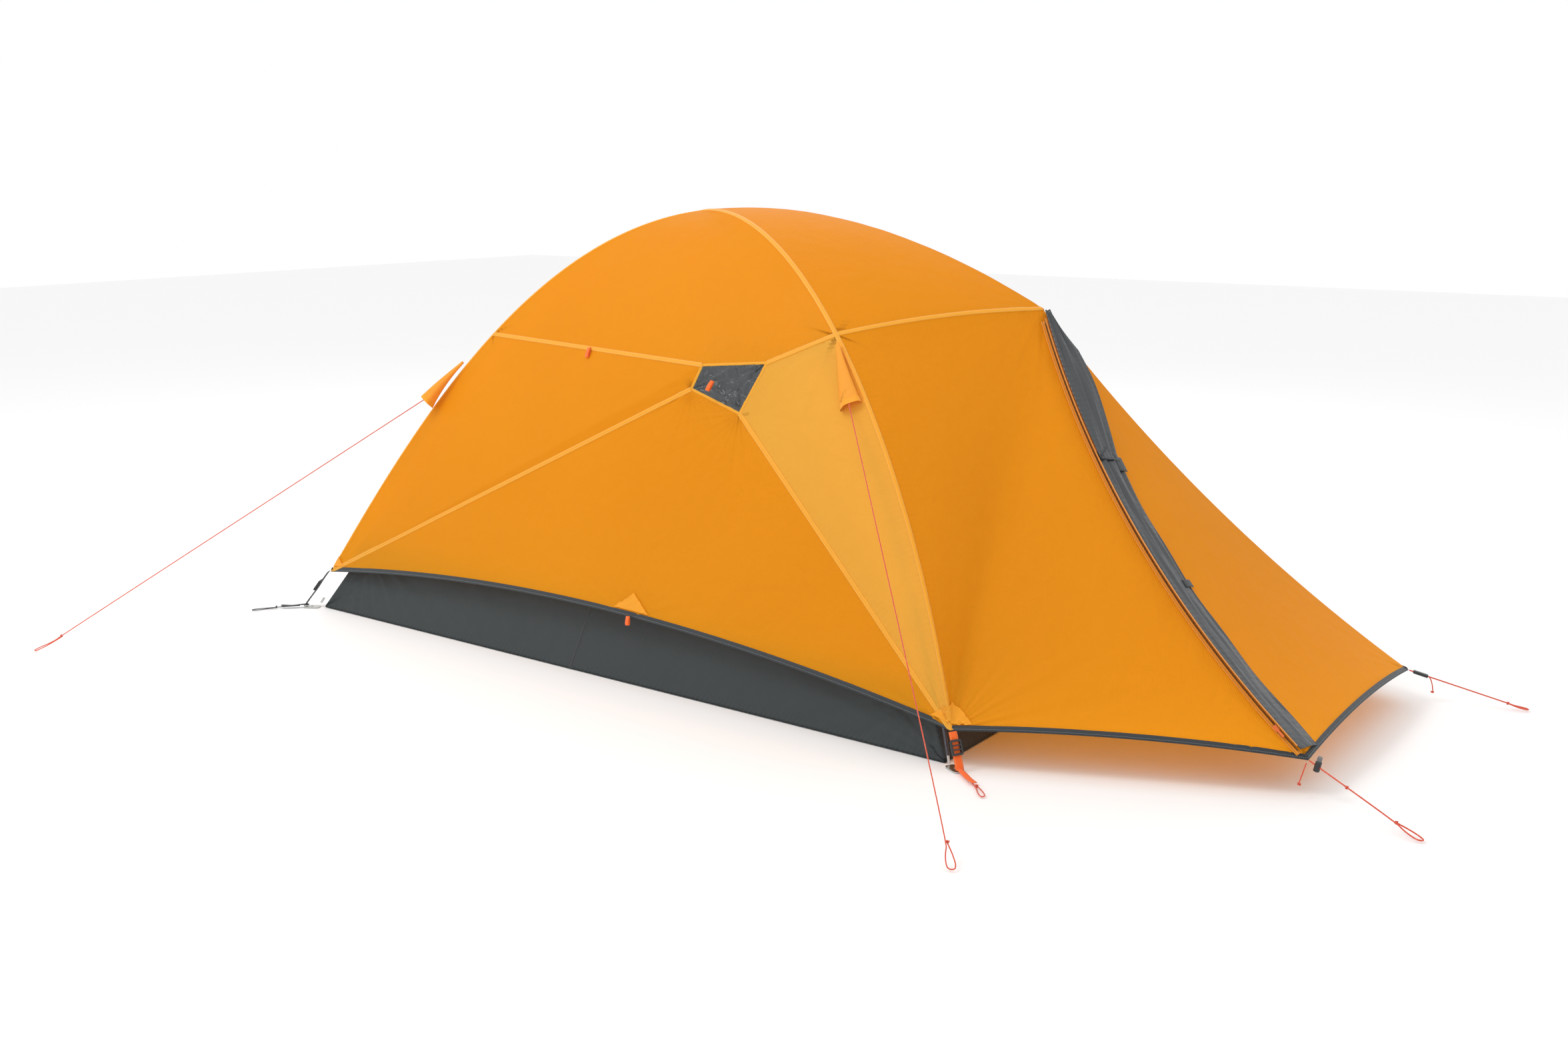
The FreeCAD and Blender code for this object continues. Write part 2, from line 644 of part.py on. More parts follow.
def corner_foot(name, place):
    """A metal plate on the ground with the grommet that takes the pole's tip."""
    body = doc.addObject("PartDesign::Body", name)
    plate = pad(body, name + "Plate", rectangle(body, name + "Outline", size("foot_width"),
                                                size("foot_length")), "foot_thick")
    doc.recompute()
    round_edges(body, name + "Corners", plate, 8)
    ring = body.newObject("Sketcher::SketchObject", name + "Bore")
    ring.AttachmentSupport = ([item for item in body.Origin.OriginFeatures
                               if item.Role == "XY_Plane"][0], [""])
    ring.MapMode = "FlatFace"
    ring.addGeometry(Part.Circle(Vector(0, 0, 0), Vector(0, 0, 1), size("grommet_bore") / 2))
    pocket(body, name + "Hole", ring)
    body.Placement = place
    return body


FEET = {"rear": leg_point(REAR_LEG, FLOOR_REAR, 1.0), "front": leg_point(FRONT_LEG, FLOOR_FRONT, 1.0)}
CORNERS = {"rear": FLOOR_REAR, "front": FLOOR_FRONT}
FLY_CORNERS = {"rear": FLY_REAR, "front": FLY_FRONT}
feet = []
straps = []
for end, foot in FEET.items():
    for side, sign in SIDES.items():
        flip = (lambda v: v) if sign < 0 else mirrored
        heading = (flip(CORNERS[end]) - CROSSING).normalize()
        across = Vector(0, 0, 1).cross(heading)
        spot = flip(foot)
        turn = Rotation(across, heading, Vector(0, 0, 1), "ZYX")
        feet.append(corner_foot("Foot" + end.title() + side.title(), Placement(spot - heading * 4, turn)))
        high = flip(FLY_CORNERS[end]) + heading * 7
        low = spot + heading * 16 + Vector(0, 0, 5)
        half = across * (size("webbing_width") / 2)
        rows = [lerp(high, low, step / 4) for step in range(5)]
        straps.append(sheet_solid([[row - half, row + half] for row in rows], size("webbing")))
        down = (low - high).normalize()
        face = across.cross(down)
        if face.dot(heading) < 0:
            face = face * -1
        middle = lerp(high, low, 0.42) + face * 1.2
        label = "corner_buckle_%s_%s" % (end, side)
        buckle = doc.addObject("PartDesign::Body", label.title().replace("_", ""))
        base = pad(buckle, label + "_plate", rectangle(
            buckle, label + "_outline", size("lock_width"), size("lock_length")), "lock_thick")
        doc.recompute()
        round_edges(buckle, label + "_corners", base, 4)
        inner_width = size("lock_width") - 2 * size("lock_bar")
        for number, shift in enumerate((-1, 0, 1)):
            slot = rectangle(buckle, "%s_slot_%d" % (label, number), inner_width,
                             size("lock_slot") - 2, shift * (size("lock_slot") + 1))
            pocket(buckle, "%s_cut_%d" % (label, number), slot)
        buckle.Placement = Placement(middle, Rotation(across, down * -1, face, "ZXY"))
        keep(buckle, label)
        hinge = middle - down * (size("lock_length") / 2) + face * (size("lock_thick") / 2)
        print(label, "hinge", [round(value, 1) for value in hinge], "across",
              [round(value, 4) for value in across])
foot_group = doc.addObject("Part::Compound", "Feet")
foot_group.Links = feet
keep(foot_group, "corner_feet")
feature("corner_straps", Part.makeCompound(straps))

# ------------------------------------------------------------------ guy points on the fly
GUY_POINTS = {
    "Rear": (rear_ridge(0.52) + Vector(-10, -10, 2), point(-751, -416, 616)),
    "Front": (front_ridge(0.45) + Vector(2, -15, 0), point(699, -478, 728)),
}


def guy_cone(name, root, mouth):
    """A fabric trumpet that grows out of the fly beside a pole; a guyline comes out of its mouth."""
    reach = (mouth - root).normalize()
    length = "%.3f mm" % ((mouth - root).Length - 6)
    outer = bind(doc.addObject("Part::Cone", name + "Outside"),
                 Radius1="{cone_root}", Radius2="{cone_mouth}", Height=length)
    inner = bind(doc.addObject("Part::Cone", name + "Inside"),
                 Radius1="{cone_root} - {cone_wall}", Radius2="{cone_mouth} - {cone_wall}",
                 Height=length + " + 1 mm")
    shell = doc.addObject("Part::Cut", name)
    shell.Base, shell.Tool = outer, inner
    shell.Placement = Placement(root + reach * 6, Rotation(Vector(0, 0, 1), reach))
    return shell


cones = []
for end, (root, mouth) in GUY_POINTS.items():
    for side, sign in SIDES.items():
        flip = (lambda v: v) if sign < 0 else mirrored
        cones.append(guy_cone("Cone" + end + side.title(), flip(root), flip(mouth)))
cone_group = doc.addObject("Part::Compound", "Cones")
cone_group.Links = cones
keep(cone_group, "guy_cones")


def webbing_loop(spot, opening, thickness=1.6, radius=9, width=12):
    """A short loop of webbing, seen open along the direction called opening."""
    start = spot - opening * (width / 2)
    loop = Part.makeCylinder(radius, width, start, opening)
    return loop.cut(Part.makeCylinder(radius - thickness, width, start, opening))


loops = []
for spot in (SIDE_HEM(0.56) + Vector(0, -7, -10), point(290, -452, 742),
             lerp(SEAM_TOP, GUSSET[1], 0.5) + Vector(0, -20, -14)):
    loops.append(webbing_loop(spot, Vector(1, 0, 0)))
    loops.append(webbing_loop(mirrored(spot), Vector(1, 0, 0)))
feature("fly_webbing_loops", Part.makeCompound(loops))

# ------------------------------------------------------------------ vestibule zip, flap and vent
zip_arc = Part.Arc(BROW_PEAK, ZIP_MIDDLE, STAKE_CORNER)
zip_circle = zip_arc.toShape().Curve
zip_centre, zip_axis, zip_radius = zip_circle.Center, zip_circle.Axis, zip_circle.Radius
zip_angle = zip_arc.LastParameter - zip_arc.FirstParameter
door_out = (FLY_FRONT - BROW_PEAK).cross(STAKE_CORNER - BROW_PEAK).normalize()
if door_out.dot(Vector(0, -1, 0)) < 0:
    door_out = door_out * -1
zip_out = zip_axis if zip_axis.dot(door_out) > 0 else zip_axis * -1
print("zip arc: centre", [round(value, 2) for value in zip_centre], "axis",
      [round(value, 5) for value in zip_axis], "radius %.1f, %.2f degrees"
      % (zip_radius, math.degrees(zip_angle)))


def on_zip(t, sideways, outwards_by):
    """A place by the zip: sideways over the door's cloth, and out from it."""
    spot = ZIP_CURVE(t)
    run = (ZIP_CURVE(min(t + 0.01, 1.0)) - ZIP_CURVE(max(t - 0.01, 0.0))).normalize()
    side = FLY_FRONT - spot
    side = (side - run * side.dot(run)).normalize()
    out = run.cross(side)
    if out.dot(zip_out) < 0:
        out = out * -1
    return spot + side * sideways + out * outwards_by


tape = [[on_zip(0.03 + 0.955 * step / 14, across, size("tape_lift")) for across in (2, size("zip_tape"))]
        for step in range(15)]
soft("vestibule_zip_tape", tape)

SLIDER_T = 0.93
SLIDER_LIFT = 7
slider_spot = on_zip(SLIDER_T, 7.5, SLIDER_LIFT)
slider_run = (on_zip(SLIDER_T + 0.01, 7.5, SLIDER_LIFT) - slider_spot).normalize()
slider_turn = Rotation(zip_out.cross(slider_run), slider_run, zip_out, "ZYX")
slider_body = bind(doc.addObject("Part::Box", "SliderBody"), Width="{zip_slider_length}",
                   Length="{zip_slider_width}", Height="{zip_slider_thick}")
slider_body.Placement = Placement(slider_spot, slider_turn).multiply(
    Placement(Vector(-size("zip_slider_width") / 2, -size("zip_slider_length") / 2, 0), Rotation()))
pull = bind(doc.addObject("Part::Box", "SliderPull"), Width="{pull_length}", Length="5 mm", Height="1.6 mm")
pull.Placement = Placement(slider_spot + zip_out * (size("zip_slider_thick") + 0.4), slider_turn).multiply(
    Placement(Vector(-2.5, 0, 0), Rotation()))
slider = doc.addObject("Part::Compound", "ZipSlider")
slider.Links = [slider_body, pull]
keep(slider, "vestibule_zip_slider")


FLAP_CLEARANCE = 9


def flap_point(t, across, lift):
    """A place on the storm flap, which lies beside the zip over the front panel."""
    spot = ZIP_CURVE(t)
    side = (RIGHT_CURVE(t) - spot).normalize()
    run = (ZIP_CURVE(min(t + 0.02, 1.0)) - ZIP_CURVE(max(t - 0.02, 0.0))).normalize()
    out = run.cross(side).normalize()
    if out.x < 0:
        out = out * -1
    return spot + side * across + out * (FLAP_CLEARANCE + lift)


FLAP_WIDTH = 56
HOOD_WIDTH = 44
VENT_END = 0.33
VENT_RISE = 22


def flap_width(t):
    gap = (RIGHT_CURVE(t) - ZIP_CURVE(t)).Length
    return min(FLAP_WIDTH if t > VENT_END else HOOD_WIDTH, 0.7 * gap)


def vent_lift(t, share):
    rise = max(0.0, math.sin(math.pi * min(t / VENT_END, 1.0) ** 1.4))
    return VENT_RISE * rise * share ** 0.8


flap = [[flap_point(t, 1 + flap_width(t) * share, 0) for share in (0, 0.33, 0.66, 1)]
        for t in [VENT_END + 0.01 + (0.965 - VENT_END) * step / 12 for step in range(13)]]
soft("storm_flap", flap)
hood = [[flap_point(t, 1 + flap_width(t) * share, vent_lift(t, share)) for share in (0, 0.33, 0.66, 1)]
        for t in [0.04 + (VENT_END - 0.05) * step / 10 for step in range(11)]]
soft("vent_hood", hood)
mesh_grid = [[flap_point(t, 4 + (flap_width(t) - 8) * share, -3.5) for share in (0, 0.5, 1)]
             for t in [0.12 + 0.18 * step / 4 for step in range(5)]]
soft("vent_mesh", mesh_grid)

STRUT_T = 0.2
strut_foot = flap_point(STRUT_T, 0.86 * flap_width(STRUT_T), -2.5)
strut_way = (flap_point(STRUT_T, 0.86 * flap_width(STRUT_T), 20) - strut_foot).normalize()
strut_room = vent_lift(STRUT_T, 0.86)
strut_length = strut_room - 3
strut_side = (flap_point(STRUT_T, 10, 0) - flap_point(STRUT_T, 0, 0)).normalize()
print("vent strut: foot", [round(value, 1) for value in strut_foot], "length %.1f" % strut_length,
      "axis", [round(value, 4) for value in strut_side])
feature("vent_strut", Part.makeCylinder(size("strut_diameter") / 2, strut_length,
                                        strut_foot + strut_way, strut_way))

# ------------------------------------------------------------------ stake corners of the vestibule
LEFT_STAKE = point(2008, -490, 2)
RIGHT_STAKE = point(2008, 455, 2)
left_pull = (LEFT_STAKE - STAKE_CORNER).normalize()
right_corner = mirrored(STAKE_CORNER)
right_pull = (RIGHT_STAKE - right_corner).normalize()
LOCK_AT = 26
TENSIONER_AT = 30


def upright(direction):
    """A turn that lays X along a cord's direction and keeps Z as near upright as it can."""
    across = Vector(0, 0, 1).cross(direction).normalize()
    return Rotation(direction, across, direction.cross(across), "XYZ")


barrel = bind(doc.addObject("Part::Cylinder", "LockBarrel"), Radius="{barrel_diameter} / 2",
              Height="{barrel_length}")
lock_bore = bind(doc.addObject("Part::Cylinder", "LockBore"), Radius="{barrel_bore} / 2",
                 Height="{barrel_diameter} + 4")
lock_bore.Placement = Placement(Vector(-size("barrel_diameter") / 2 - 2, 0, size("barrel_length") / 2),
                                Rotation(Vector(0, 1, 0), 90))
lock = doc.addObject("Part::Cut", "CordLock")
lock.Base, lock.Tool = barrel, lock_bore
lock_place = Placement(STAKE_CORNER + left_pull * LOCK_AT, upright(left_pull))
lock.Placement = lock_place.multiply(Placement(Vector(0, 0, -size("barrel_length") / 2), Rotation()))
keep(lock, "cord_lock")
button = bind(doc.addObject("Part::Cylinder", "LockButton"), Radius="{button_diameter} / 2",
              Height="{button_length}")
button.Placement = lock_place.multiply(
    Placement(Vector(0, 0, size("barrel_length") / 2 + size("button_gap")), Rotation()))
keep(button, "cord_lock_button")
print("cord lock slides along", [round(value, 4) for value in left_pull],
      "button along", [round(value, 4) for value in lock_place.Rotation.multVec(Vector(0, 0, -1))])

bar = bind(doc.addObject("Part::Box", "TensionerBar"), Length="{tensioner_length}",
           Width="{tensioner_width}", Height="{tensioner_thick}")
bar_bore = bind(doc.addObject("Part::Cylinder", "TensionerBore"), Radius="{tensioner_bore} / 2",
                Height="{tensioner_length} + 2")
bar_bore.Placement = Placement(Vector(-1, size("tensioner_width") / 2, size("tensioner_thick") / 2),
                               Rotation(Vector(0, 1, 0), 90))
tensioner = doc.addObject("Part::Cut", "Tensioner")
tensioner.Base, tensioner.Tool = bar, bar_bore
tensioner.Placement = Placement(right_corner + right_pull * TENSIONER_AT, upright(right_pull)).multiply(
    Placement(Vector(-size("tensioner_length") / 2, -size("tensioner_width") / 2,
                     -size("tensioner_thick") / 2), Rotation()))
keep(tensioner, "cord_tensioner")
print("vestibule door hinge from", [round(value, 2) for value in FLY_FRONT], "to",
      [round(value, 2) for value in BROW_PEAK])
print("tensioner slides along", [round(value, 4) for value in right_pull])

# ------------------------------------------------------------------ cords
CORDS = {
    "rear_left_guyline": ("cord", [
        (-746, -411, 617), (-1291, -1224, 37), (-1305, -1237, 22), (-1330, -1277, 5),
        (-1322, -1286, 4), (-1313, -1286, 5), (-1299, -1248, 20), (-1291, -1226, 32)]),
    "front_left_guyline": ("cord", [
        (697, -474, 736), (1310, -1077, 38), (1316, -1096, 22), (1330, -1116, 6),
        (1342, -1117, 4), (1347, -1107, 6), (1327, -1088, 22), (1311, -1078, 34)]),
    "vestibule_cord_left": ("thick_cord", [
        (1751, -375, 75), (1951, -464, 19), (1968, -478, 12), (1996, -493, 5),
        (2009, -490, 4), (2006, -480, 5), (1976, -467, 12), (1953, -464, 18)]),
    "vestibule_cord_right": ("thick_cord", [
        (1751, 375, 75), (1964, 441, 15), (1976, 450, 9), (1998, 459, 5),
        (2009, 455, 4), (2005, 446, 5), (1984, 440, 9), (1966, 441, 14)]),
    "vestibule_cord_tail_left": ("cord", [(1748, -384, 72), (1746, -391, 58), (1739, -394, 30)]),
    "vestibule_cord_tail_right": ("cord", [(1794, 391, 61), (1801, 395, 52), (1803, 396, 29)]),
    "rear_left_ground_loop": ("cord", [
        (-1118, -584, 4), (-1162, -634, 3), (-1187, -669, 3), (-1199, -690, 3),
        (-1190, -697, 3), (-1173, -672, 3), (-1158, -637, 3)]),
    "front_left_ground_loop": ("cord", [
        (1146, -696, 4), (1180, -727, 3), (1200, -756, 3), (1215, -769, 3),
        (1220, -760, 3), (1200, -737, 3), (1181, -722, 3)]),
}


def rounded_route(points):
    """Straight runs joined by tangent arcs, and the radius of each arc."""
    parts = []
    radii = []
    start = points[0]
    for before, corner, after in zip(points, points[1:], points[2:]):
        back, ahead = before - corner, after - corner
        half_turn = (math.pi - back.getAngle(ahead)) / 2
        shorter = min(back.Length, ahead.Length)
        if half_turn < 0.01:
            continue
        cut = 0.45 * shorter
        radii.append(cut / math.tan(half_turn))
        first = corner + back.normalize() * cut
        second = corner + ahead.normalize() * cut
        middle = arc_middle(corner, first, second, radii[-1])
        parts.append(Part.LineSegment(start, first).toShape())
        parts.append(Part.Arc(first, middle, second).toShape())
        start = second
    parts.append(Part.LineSegment(start, points[-1]).toShape())
    return Part.Wire(parts), radii


def arc_middle(corner, first, second, radius):
    """The middle of the arc that touches both runs at first and second."""
    chord_middle = (first + second) * 0.5
    inwards = (chord_middle - corner).normalize()
    reach = math.sqrt(radius ** 2 + (first - corner).Length ** 2)
    return corner + inwards * (reach - radius)


def cord(label, alias, points):
    """A cord's tube along its route, with the length that the route gives."""
    route = [Vector(*spot) for spot in points]
    wire, radii = rounded_route(route)
    radius = size(alias) / 2
    ring = Part.Wire(Part.makeCircle(radius, route[0], route[1] - route[0]))
    tube = wire.makePipeShell([ring], True, False)
    ratio = tube.Volume / (math.pi * radius ** 2 * wire.Length)
    print("%s: length %.0f, tightest arc %.1f, volume ratio %.3f, lowest %.2f, radii %s"
          % (label, wire.Length, min(radii), ratio, tube.BoundBox.ZMin, [round(value) for value in radii]))
    feature(label, tube)


for label, (alias, points) in CORDS.items():
    cord(label, alias, points)


def knot(spot, direction, scale=1.0):
    """An overhand knot, as a short fat ring of cord."""
    centre = Vector(*spot)
    along_cord = Vector(*direction).normalize()
    length = size("knot") * 1.3 * scale
    return Part.makeCylinder(size("knot") / 2 * scale, length, centre - along_cord * (length / 2), along_cord)


KNOTS = [((-1291, -1225, 36), (-521, -818, -572)), ((1310, -1077, 37), (631, -632, -751)),
         ((1951, -464, 19), (200, -89, -56)), ((1840, -415, 50), (200, -89, -56)),
         ((1964, 441, 15), (213, 66, -60)), ((1739, -394, 28), (-2, -1, -10)),
         ((-1160, -635, 5), (-3, -4, 0)), ((1181, -725, 5), (4, -3, 0))]
TAIL_KNOT = ((1803, 396, 25), (1, 0, -10))
feature("cord_knots", Part.makeCompound([knot(*entry) for entry in KNOTS]))
feature("tail_knot_right", knot(*TAIL_KNOT))


doc.recompute()
for item in doc.Objects:
    if "Invalid" in item.State or "Error" in item.State:
        raise RuntimeError("%s is %s" % (item.Label, item.State))
os.makedirs("parts", exist_ok=True)
for item in nodes:
    if item.Shape.isNull() or not item.Shape.isValid():
        raise RuntimeError(item.Label + " has no valid shape")
for item in nodes:
    item.Shape.exportStep("parts/%s.step" % item.Label)
print(len(nodes), "nodes")
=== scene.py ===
# A two-person mountain tent, pitched: an orange fly on two crossing poles and a brow pole, over an
# inner tent with a bathtub floor, with guylines, corner straps, cord hardware and a front vestibule.
# Metres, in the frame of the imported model: +X towards the vestibule, +Y the right side, +Z up.
import math

import bpy
import numpy as np
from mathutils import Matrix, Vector, noise
from mathutils.bvhtree import BVHTree


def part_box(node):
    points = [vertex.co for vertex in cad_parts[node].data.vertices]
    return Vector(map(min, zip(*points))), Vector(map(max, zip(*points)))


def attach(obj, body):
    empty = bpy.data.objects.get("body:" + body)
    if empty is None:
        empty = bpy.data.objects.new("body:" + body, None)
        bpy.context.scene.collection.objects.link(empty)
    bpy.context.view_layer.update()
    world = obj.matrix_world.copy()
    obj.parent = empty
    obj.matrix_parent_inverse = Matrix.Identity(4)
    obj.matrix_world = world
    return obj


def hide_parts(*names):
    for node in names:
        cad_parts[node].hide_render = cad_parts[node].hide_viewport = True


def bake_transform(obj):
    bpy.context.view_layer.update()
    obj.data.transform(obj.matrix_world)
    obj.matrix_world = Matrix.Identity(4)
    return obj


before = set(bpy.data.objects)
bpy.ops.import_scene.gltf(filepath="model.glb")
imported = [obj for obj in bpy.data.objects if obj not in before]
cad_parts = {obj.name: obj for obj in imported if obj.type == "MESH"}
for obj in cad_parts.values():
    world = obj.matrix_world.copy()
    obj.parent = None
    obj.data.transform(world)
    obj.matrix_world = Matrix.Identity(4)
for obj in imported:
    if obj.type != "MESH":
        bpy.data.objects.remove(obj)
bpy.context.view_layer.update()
scene = bpy.context.scene


# ---------------- the camera
def make_camera():
    """Looks at the tent from its front left, a little above the ground."""
    azimuth, elevation, distance = math.radians(34.968), math.radians(12.191), 4.4788
    aim = Vector((0.1894, 0.0, 0.3093))
    back = Vector((math.sin(azimuth) * math.cos(elevation), -math.cos(azimuth) * math.cos(elevation),
                   math.sin(elevation)))
    lens = bpy.data.cameras.new("camera")
    lens.sensor_width = 36.0
    lens.lens = 37.98
    camera = bpy.data.objects.new("camera", lens)
    camera.location = aim + back * distance
    camera.rotation_euler = back.to_track_quat("Z", "Y").to_euler()
    scene.collection.objects.link(camera)
    scene.camera = camera


make_camera()


# ---------------- materials
class Graph:
    """A material's node tree, with short ways to add to it."""

    def __init__(self, name):
        self.material = bpy.data.materials.new(name)
        self.material.use_nodes = True
        self.tree = self.material.node_tree
        self.shader = self.tree.nodes["Principled BSDF"]
        self.output = self.tree.nodes["Material Output"]

    def add(self, kind, **inputs):
        node = self.tree.nodes.new(kind)
        for name, value in inputs.items():
            self.feed(node, name.replace("_", " "), value)
        return node

    def feed(self, node, socket, value):
        target = node.inputs[socket]
        if isinstance(value, bpy.types.NodeSocket):
            self.tree.links.new(value, target)
        else:
            target.default_value = value

    def math(self, operation, first, second=0.0):
        node = self.tree.nodes.new("ShaderNodeMath")
        node.operation = operation
        self.feed(node, 0, first)
        self.feed(node, 1, second)
        return node.outputs[0]

    def times(self, first, second):
        return self.math("MULTIPLY", first, second)

    def plus(self, first, second):
        return self.math("ADD", first, second)

    def mix(self, share, first, second):
        """A colour between first and second."""
        node = self.tree.nodes.new("ShaderNodeMix")
        node.data_type = "RGBA"
        self.feed(node, 0, share)
        self.feed(node, 6, first)
        self.feed(node, 7, second)
        return node.outputs[2]

    def noise(self, scale, detail=3.0, vector=None):
        node = self.add("ShaderNodeTexNoise", Scale=scale, Detail=detail)
        self.feed(node, "Vector", vector or self.add("ShaderNodeTexCoord").outputs["Object"])
        return node.outputs["Fac"]

    def uv(self, layer):
        node = self.tree.nodes.new("ShaderNodeUVMap")
        node.uv_map = layer
        split = self.tree.nodes.new("ShaderNodeSeparateXYZ")
        self.tree.links.new(node.outputs[0], split.inputs[0])
        return split.outputs[0], split.outputs[1], node.outputs[0]

    def lines(self, value, pitch, share):
        """1 on thin lines every pitch of a length, 0 between them."""
        phase = self.math("FRACT", self.math("DIVIDE", value, pitch))
        return self.math("LESS_THAN", phase, share)

    def bump(self, height, distance, below=None):
        node = self.add("ShaderNodeBump", Strength=1.0, Distance=distance, Height=height)
        if below is not None:
            self.feed(node, "Normal", below)
        return node.outputs[0]

    def finish(self, colour, roughness, normal=None, **fixed):
        self.feed(self.shader, "Base Color", colour)
        self.feed(self.shader, "Roughness", roughness)
        if normal is not None:
            self.feed(self.shader, "Normal", normal)
        for name, value in fixed.items():
            self.shader.inputs[name.replace("_", " ")].default_value = value
        return self.material

    def glow_through(self, share, colour, normal):
        """Lets some of the light on one face come out of the other."""
        through = self.add("ShaderNodeBsdfTranslucent", Color=colour, Normal=normal)
        both = self.tree.nodes.new("ShaderNodeMixShader")
        both.inputs[0].default_value = share
        self.tree.links.new(self.shader.outputs[0], both.inputs[1])
        self.tree.links.new(through.outputs[0], both.inputs[2])
        self.tree.links.new(both.outputs[0], self.output.inputs["Surface"])


RIPSTOP = 0.0055


def shaded(colour, factor, lift=0.0):
    return [part * factor + lift for part in colour[:3]] + [1]


def ripstop_cloth(name, colour, deep, through=0.0, roughness=0.5, crinkle=0.0006, contrast=0.3, shine=0.12):
    """Woven cloth with a ripstop grid, soft creases, and puckers beside its seams."""
    graph = Graph(name)
    across, along, uv = graph.uv("cloth")
    grid = graph.math("MAXIMUM", graph.lines(across, RIPSTOP, 0.14), graph.lines(along, RIPSTOP, 0.14))
    weave = graph.noise(900.0, 1.0, uv)
    creases = graph.noise(26.0, 4.0)
    stains = graph.noise(2.2, 2.0)
    run, rim, _ = graph.uv("rim")
    near = graph.math("POWER", 2.718, graph.times(rim, -60.0))
    wave = graph.math("SINE", graph.times(run, 460.0))
    pucker = graph.times(wave, near)
    shade = graph.times(graph.plus(graph.times(grid, 0.35), stains), contrast)
    tint = graph.mix(shade, colour, deep)
    normal = graph.bump(creases, crinkle * 4)
    normal = graph.bump(graph.plus(graph.times(grid, 0.5), weave), 0.00012, normal)
    normal = graph.bump(pucker, 0.0004, normal)
    rough = graph.plus(graph.times(weave, 0.16), roughness - 0.08)
    graph.finish(tint, rough, normal, Specular_IOR_Level=shine)
    if through:
        graph.glow_through(through, tint, normal)
    return graph.material


def stitched_tape(name, colour, thread, width, roughness=0.55, through=0.0, rib=0.0):
    """A sewn strip: cloth with a row of stitches near each edge, and ribs if it is webbing."""
    graph = Graph(name)
    along, across, uv = graph.uv("cloth")
    from_edge = graph.math("SUBTRACT", width / 2, graph.math("ABSOLUTE", across))
    from_row = graph.math("ABSOLUTE", graph.math("SUBTRACT", from_edge, 0.0022))
    row = graph.math("LESS_THAN", from_row, 0.00055)
    stitch = graph.times(row, graph.lines(along, 0.0042, 0.68))
    weave = graph.noise(1100.0, 1.0, uv)
    tint = graph.mix(graph.times(graph.noise(40.0), 0.25), colour, shaded(colour, 0.8))
    tint = graph.mix(stitch, tint, thread)
    height = graph.plus(graph.times(stitch, 1.0), graph.times(weave, 0.35))
    if rib:
        ribs = graph.math("SINE", graph.times(along, 2 * math.pi / rib))
        height = graph.plus(height, graph.times(ribs, 0.5))
    normal = graph.bump(height, 0.00035)
    rough = graph.plus(graph.times(weave, 0.2), roughness - 0.1)
    graph.finish(tint, rough, normal, Specular_IOR_Level=0.3, Sheen_Weight=0.15)
    if through:
        graph.glow_through(through, tint, normal)
    return graph.material


def moulded_plastic(name, colour, roughness=0.4):
    graph = Graph(name)
    grain = graph.noise(1800.0, 2.0)
    wear = graph.noise(120.0, 3.0)
    tint = graph.mix(graph.times(wear, 0.3), colour, shaded(colour, 1.8, 0.01))
    rough = graph.plus(graph.times(wear, 0.25), roughness - 0.1)
    return graph.finish(tint, rough, graph.bump(grain, 0.00006), Specular_IOR_Level=0.5)


def brushed_metal(name, colour, roughness=0.3, metallic=1.0):
    graph = Graph(name)
    streaks = graph.noise(700.0, 2.0)
    tint = graph.mix(graph.times(streaks, 0.35), colour, shaded(colour, 0.7))
    rough = graph.plus(graph.times(streaks, 0.2), roughness - 0.1)
    return graph.finish(tint, rough, graph.bump(streaks, 0.00003), Metallic=metallic)


def braided_cord(name, colour, fleck):
    """Cord with the crossing strands of a braid and a few flecks of a second colour."""
    graph = Graph(name)
    node = graph.add("ShaderNodeTexWave", Scale=240.0, Distortion=1.5, Detail=1.0)
    graph.feed(node, "Vector", graph.add("ShaderNodeTexCoord").outputs["Object"])
    fleck_at = graph.math("GREATER_THAN", graph.noise(420.0, 1.0), 0.62)
    tint = graph.mix(graph.times(fleck_at, 0.55), colour, fleck)
    return graph.finish(tint, 0.6, graph.bump(node.outputs["Fac"], 0.0002), Sheen_Weight=0.3)


def insect_mesh(name):
    graph = Graph(name)
    across, along, _ = graph.uv("cloth")
    threads = graph.math("MAXIMUM", graph.lines(across, 0.0016, 0.3), graph.lines(along, 0.0016, 0.3))
    graph.feed(graph.shader, "Alpha", graph.plus(graph.times(threads, 0.5), 0.4))
    return graph.finish((0.02, 0.02, 0.02, 1), 0.7, graph.bump(threads, 0.0002))


ORANGE = ripstop_cloth("fly_orange", (0.96, 0.385, 0.011, 1), (0.80, 0.27, 0.007, 1), 0.42)
PALE = ripstop_cloth("fly_pale_orange", (1.0, 0.55, 0.080, 1), (0.96, 0.45, 0.045, 1), 0.45)
GREY = ripstop_cloth("grey_ripstop", (0.052, 0.059, 0.063, 1), (0.022, 0.026, 0.029, 1),
                     0.0, 0.30, 0.0045, 0.5, 0.6)
FLAP_CLOTH = ripstop_cloth("flap_ripstop", (0.045, 0.051, 0.055, 1), (0.026, 0.030, 0.033, 1),
                           0.0, 0.30, 0.0008, 0.4, 0.6)
FLOOR_CLOTH = ripstop_cloth("coated_charcoal", (0.052, 0.060, 0.062, 1), (0.036, 0.042, 0.044, 1),
                            0.0, 0.5, 0.0004)
INNER = ripstop_cloth("inner_pale_grey", (0.80, 0.80, 0.77, 1), (0.68, 0.68, 0.66, 1), 0.25, 0.6)
NET = insect_mesh("insect_mesh")
SEAM = stitched_tape("seam_yellow_orange", (0.98, 0.44, 0.022, 1), (1.0, 0.70, 0.16, 1), 0.012, 0.5, 0.25)
